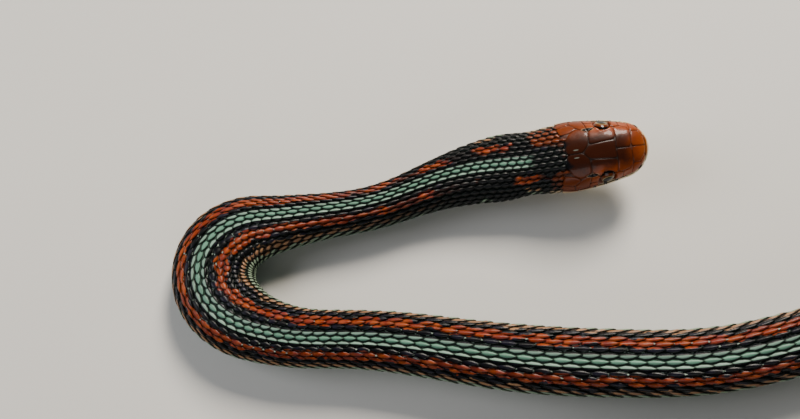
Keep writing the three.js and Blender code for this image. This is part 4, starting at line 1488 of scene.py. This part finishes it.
class SNAKE_OT_eyes(bpy.types.Operator):
    """Set the two eyes in their openings"""

    bl_idname = "snake.eyes"
    bl_label = "Eyes"

    def execute(self, context):
        """Each eye is a globe: rings about its axis, by the cosine and sine of two angles."""
        looks = context.scene.snake_looks
        material = material_of("clear_scaled_eye", eye_material, looks)
        polar = np.linspace(0, math.pi, EYE_RINGS + 2)
        turn = np.linspace(0, 2 * math.pi, EYE_COLUMNS, endpoint=False)[:, None]
        for name, side_sign in (("eye_left", 1), ("eye_right", -1)):
            middle, axis = eye_frame(side_sign)
            first = np.cross(axis, [0, 0, 1.0])
            first /= np.linalg.norm(first)
            around = np.cos(turn) * first + np.sin(turn) * np.cross(axis, first)
            inner = polar[1:-1, None, None]
            globe = (np.cos(inner) * axis + np.sin(inner) * around).reshape(-1, 3)
            points = (middle + np.concatenate([globe, [axis, -axis]]) * EYE["radius"]) * MM
            ring = np.degrees(np.append(np.repeat(polar[1:-1], EYE_COLUMNS), polar[[0, -1]]))
            make_piece(f"{name}_globe", points, *tube_faces(EYE_RINGS, EYE_COLUMNS), {"ring": ring},
                       material, "eye", (name,))
        return {"FINISHED"}


# The camera: its place in metres, how far it is tipped from straight down towards +Y, its lens
CAMERA_AT = (-0.03634, -0.01122, 0.16282)
CAMERA_TIP = 15.0
LENS_MM = 54.0
SENSOR_MM = 36.0

# The studio: half the floor's side and how far it lies under the belly, then each soft light's
# place, size, power in watts and colour, the point that they look at, and the room's own light
FLOOR_REACH = 3.0
FLOOR_GAP = 0.00003
LIGHTS = {
    "key_light": ((0.14, 0.58, 0.46), 0.24, 12.0, "#FFF6EA"),
    "left_light": ((-0.62, 0.1, 0.34), 0.4, 3.0, "#F2F6FF"),
    "front_light": ((0.08, -0.62, 0.34), 0.4, 1.4, "#FFFFFF"),
}
LIGHTS_AIM = (0.0, 0.02, 0.0)
ROOM_COLOUR = "#E4E6E8"
ROOM_LIGHT = 0.14


def lay_floor(scene, looks):
    """A wide square just under the belly."""
    mesh = bpy.data.meshes.new("floor")
    corners = [(x * FLOOR_REACH, y * FLOOR_REACH, 0) for x, y in ((-1, -1), (1, -1), (1, 1), (-1, 1))]
    mesh.from_pydata(corners, [], [(0, 1, 2, 3)])
    mesh.materials.append(floor_material(looks))
    floor = bpy.data.objects.new("floor", mesh)
    floor.location.z = -FLOOR_GAP
    scene.collection.objects.link(floor)


def hang_light(scene, name, place, size, power, colour):
    """A square soft light turned to look at the snake."""
    data = bpy.data.lights.new(name, "AREA")
    data.shape = "SQUARE"
    data.size = size
    data.energy = power
    data.color = linear(colour)
    light = bpy.data.objects.new(name, data)
    light.location = place
    x, y, z = np.array(LIGHTS_AIM) - np.array(place)
    light.rotation_euler = (math.atan2(math.hypot(x, y), -z), 0, math.atan2(-x, y))
    scene.collection.objects.link(light)


class SNAKE_OT_stage(bpy.types.Operator):
    """Make the floor, the lights and the camera"""

    bl_idname = "snake.stage"
    bl_label = "Stage"

    def execute(self, context):
        """A floor, three soft lights, a pale room and the camera over it all."""
        scene = context.scene
        lay_floor(scene, scene.snake_looks)
        for name, light in LIGHTS.items():
            hang_light(scene, name, *light)
        world = bpy.data.worlds.new("soft_room")
        world.use_nodes = True
        room = world.node_tree.nodes["Background"]
        room.inputs["Color"].default_value = (*linear(ROOM_COLOUR), 1)
        room.inputs["Strength"].default_value = ROOM_LIGHT
        scene.world = world
        camera = bpy.data.objects.new("camera", bpy.data.cameras.new("camera"))
        camera.data.lens = LENS_MM
        camera.data.sensor_width = SENSOR_MM
        camera.data.clip_start = 0.005
        camera.data.clip_end = 20.0
        camera.location = CAMERA_AT
        camera.rotation_euler = (math.radians(CAMERA_TIP), 0, 0)
        scene.collection.objects.link(camera)
        scene.camera = camera
        return {"FINISHED"}


OPERATORS = (SNAKE_OT_skin, SNAKE_OT_back_scales, SNAKE_OT_belly_scutes, SNAKE_OT_head_shields,
             SNAKE_OT_eyes, SNAKE_OT_stage)


class SNAKE_PT_pieces(bpy.types.Panel):
    """The snake's pieces and looks in the sidebar"""

    bl_label = "Garter snake"
    bl_idname = "SNAKE_PT_pieces"
    bl_space_type = "VIEW_3D"
    bl_region_type = "UI"
    bl_category = "Snake"

    def draw(self, context):
        """A button for each operator, then each setting."""
        for operator in OPERATORS:
            self.layout.operator(operator.bl_idname)
        for name in SnakeLooks.__annotations__:
            self.layout.prop(context.scene.snake_looks, name)


CLASSES = (SnakeLooks, *OPERATORS, SNAKE_PT_pieces)


def register():
    """Makes the classes and the scene's settings known."""
    for cls in CLASSES:
        bpy.utils.register_class(cls)
    bpy.types.Scene.snake_looks = bpy.props.PointerProperty(type=SnakeLooks)


def unregister():
    """Takes the settings and the classes away again."""
    del bpy.types.Scene.snake_looks
    for cls in reversed(CLASSES):
        bpy.utils.unregister_class(cls)


def main():
    """Builds the snake and its stage."""
    register()
    bpy.ops.snake.skin()
    bpy.ops.snake.back_scales()
    bpy.ops.snake.belly_scutes()
    bpy.ops.snake.head_shields()
    bpy.ops.snake.eyes()
    bpy.ops.snake.stage()


if __name__ == "__main__":
    main()
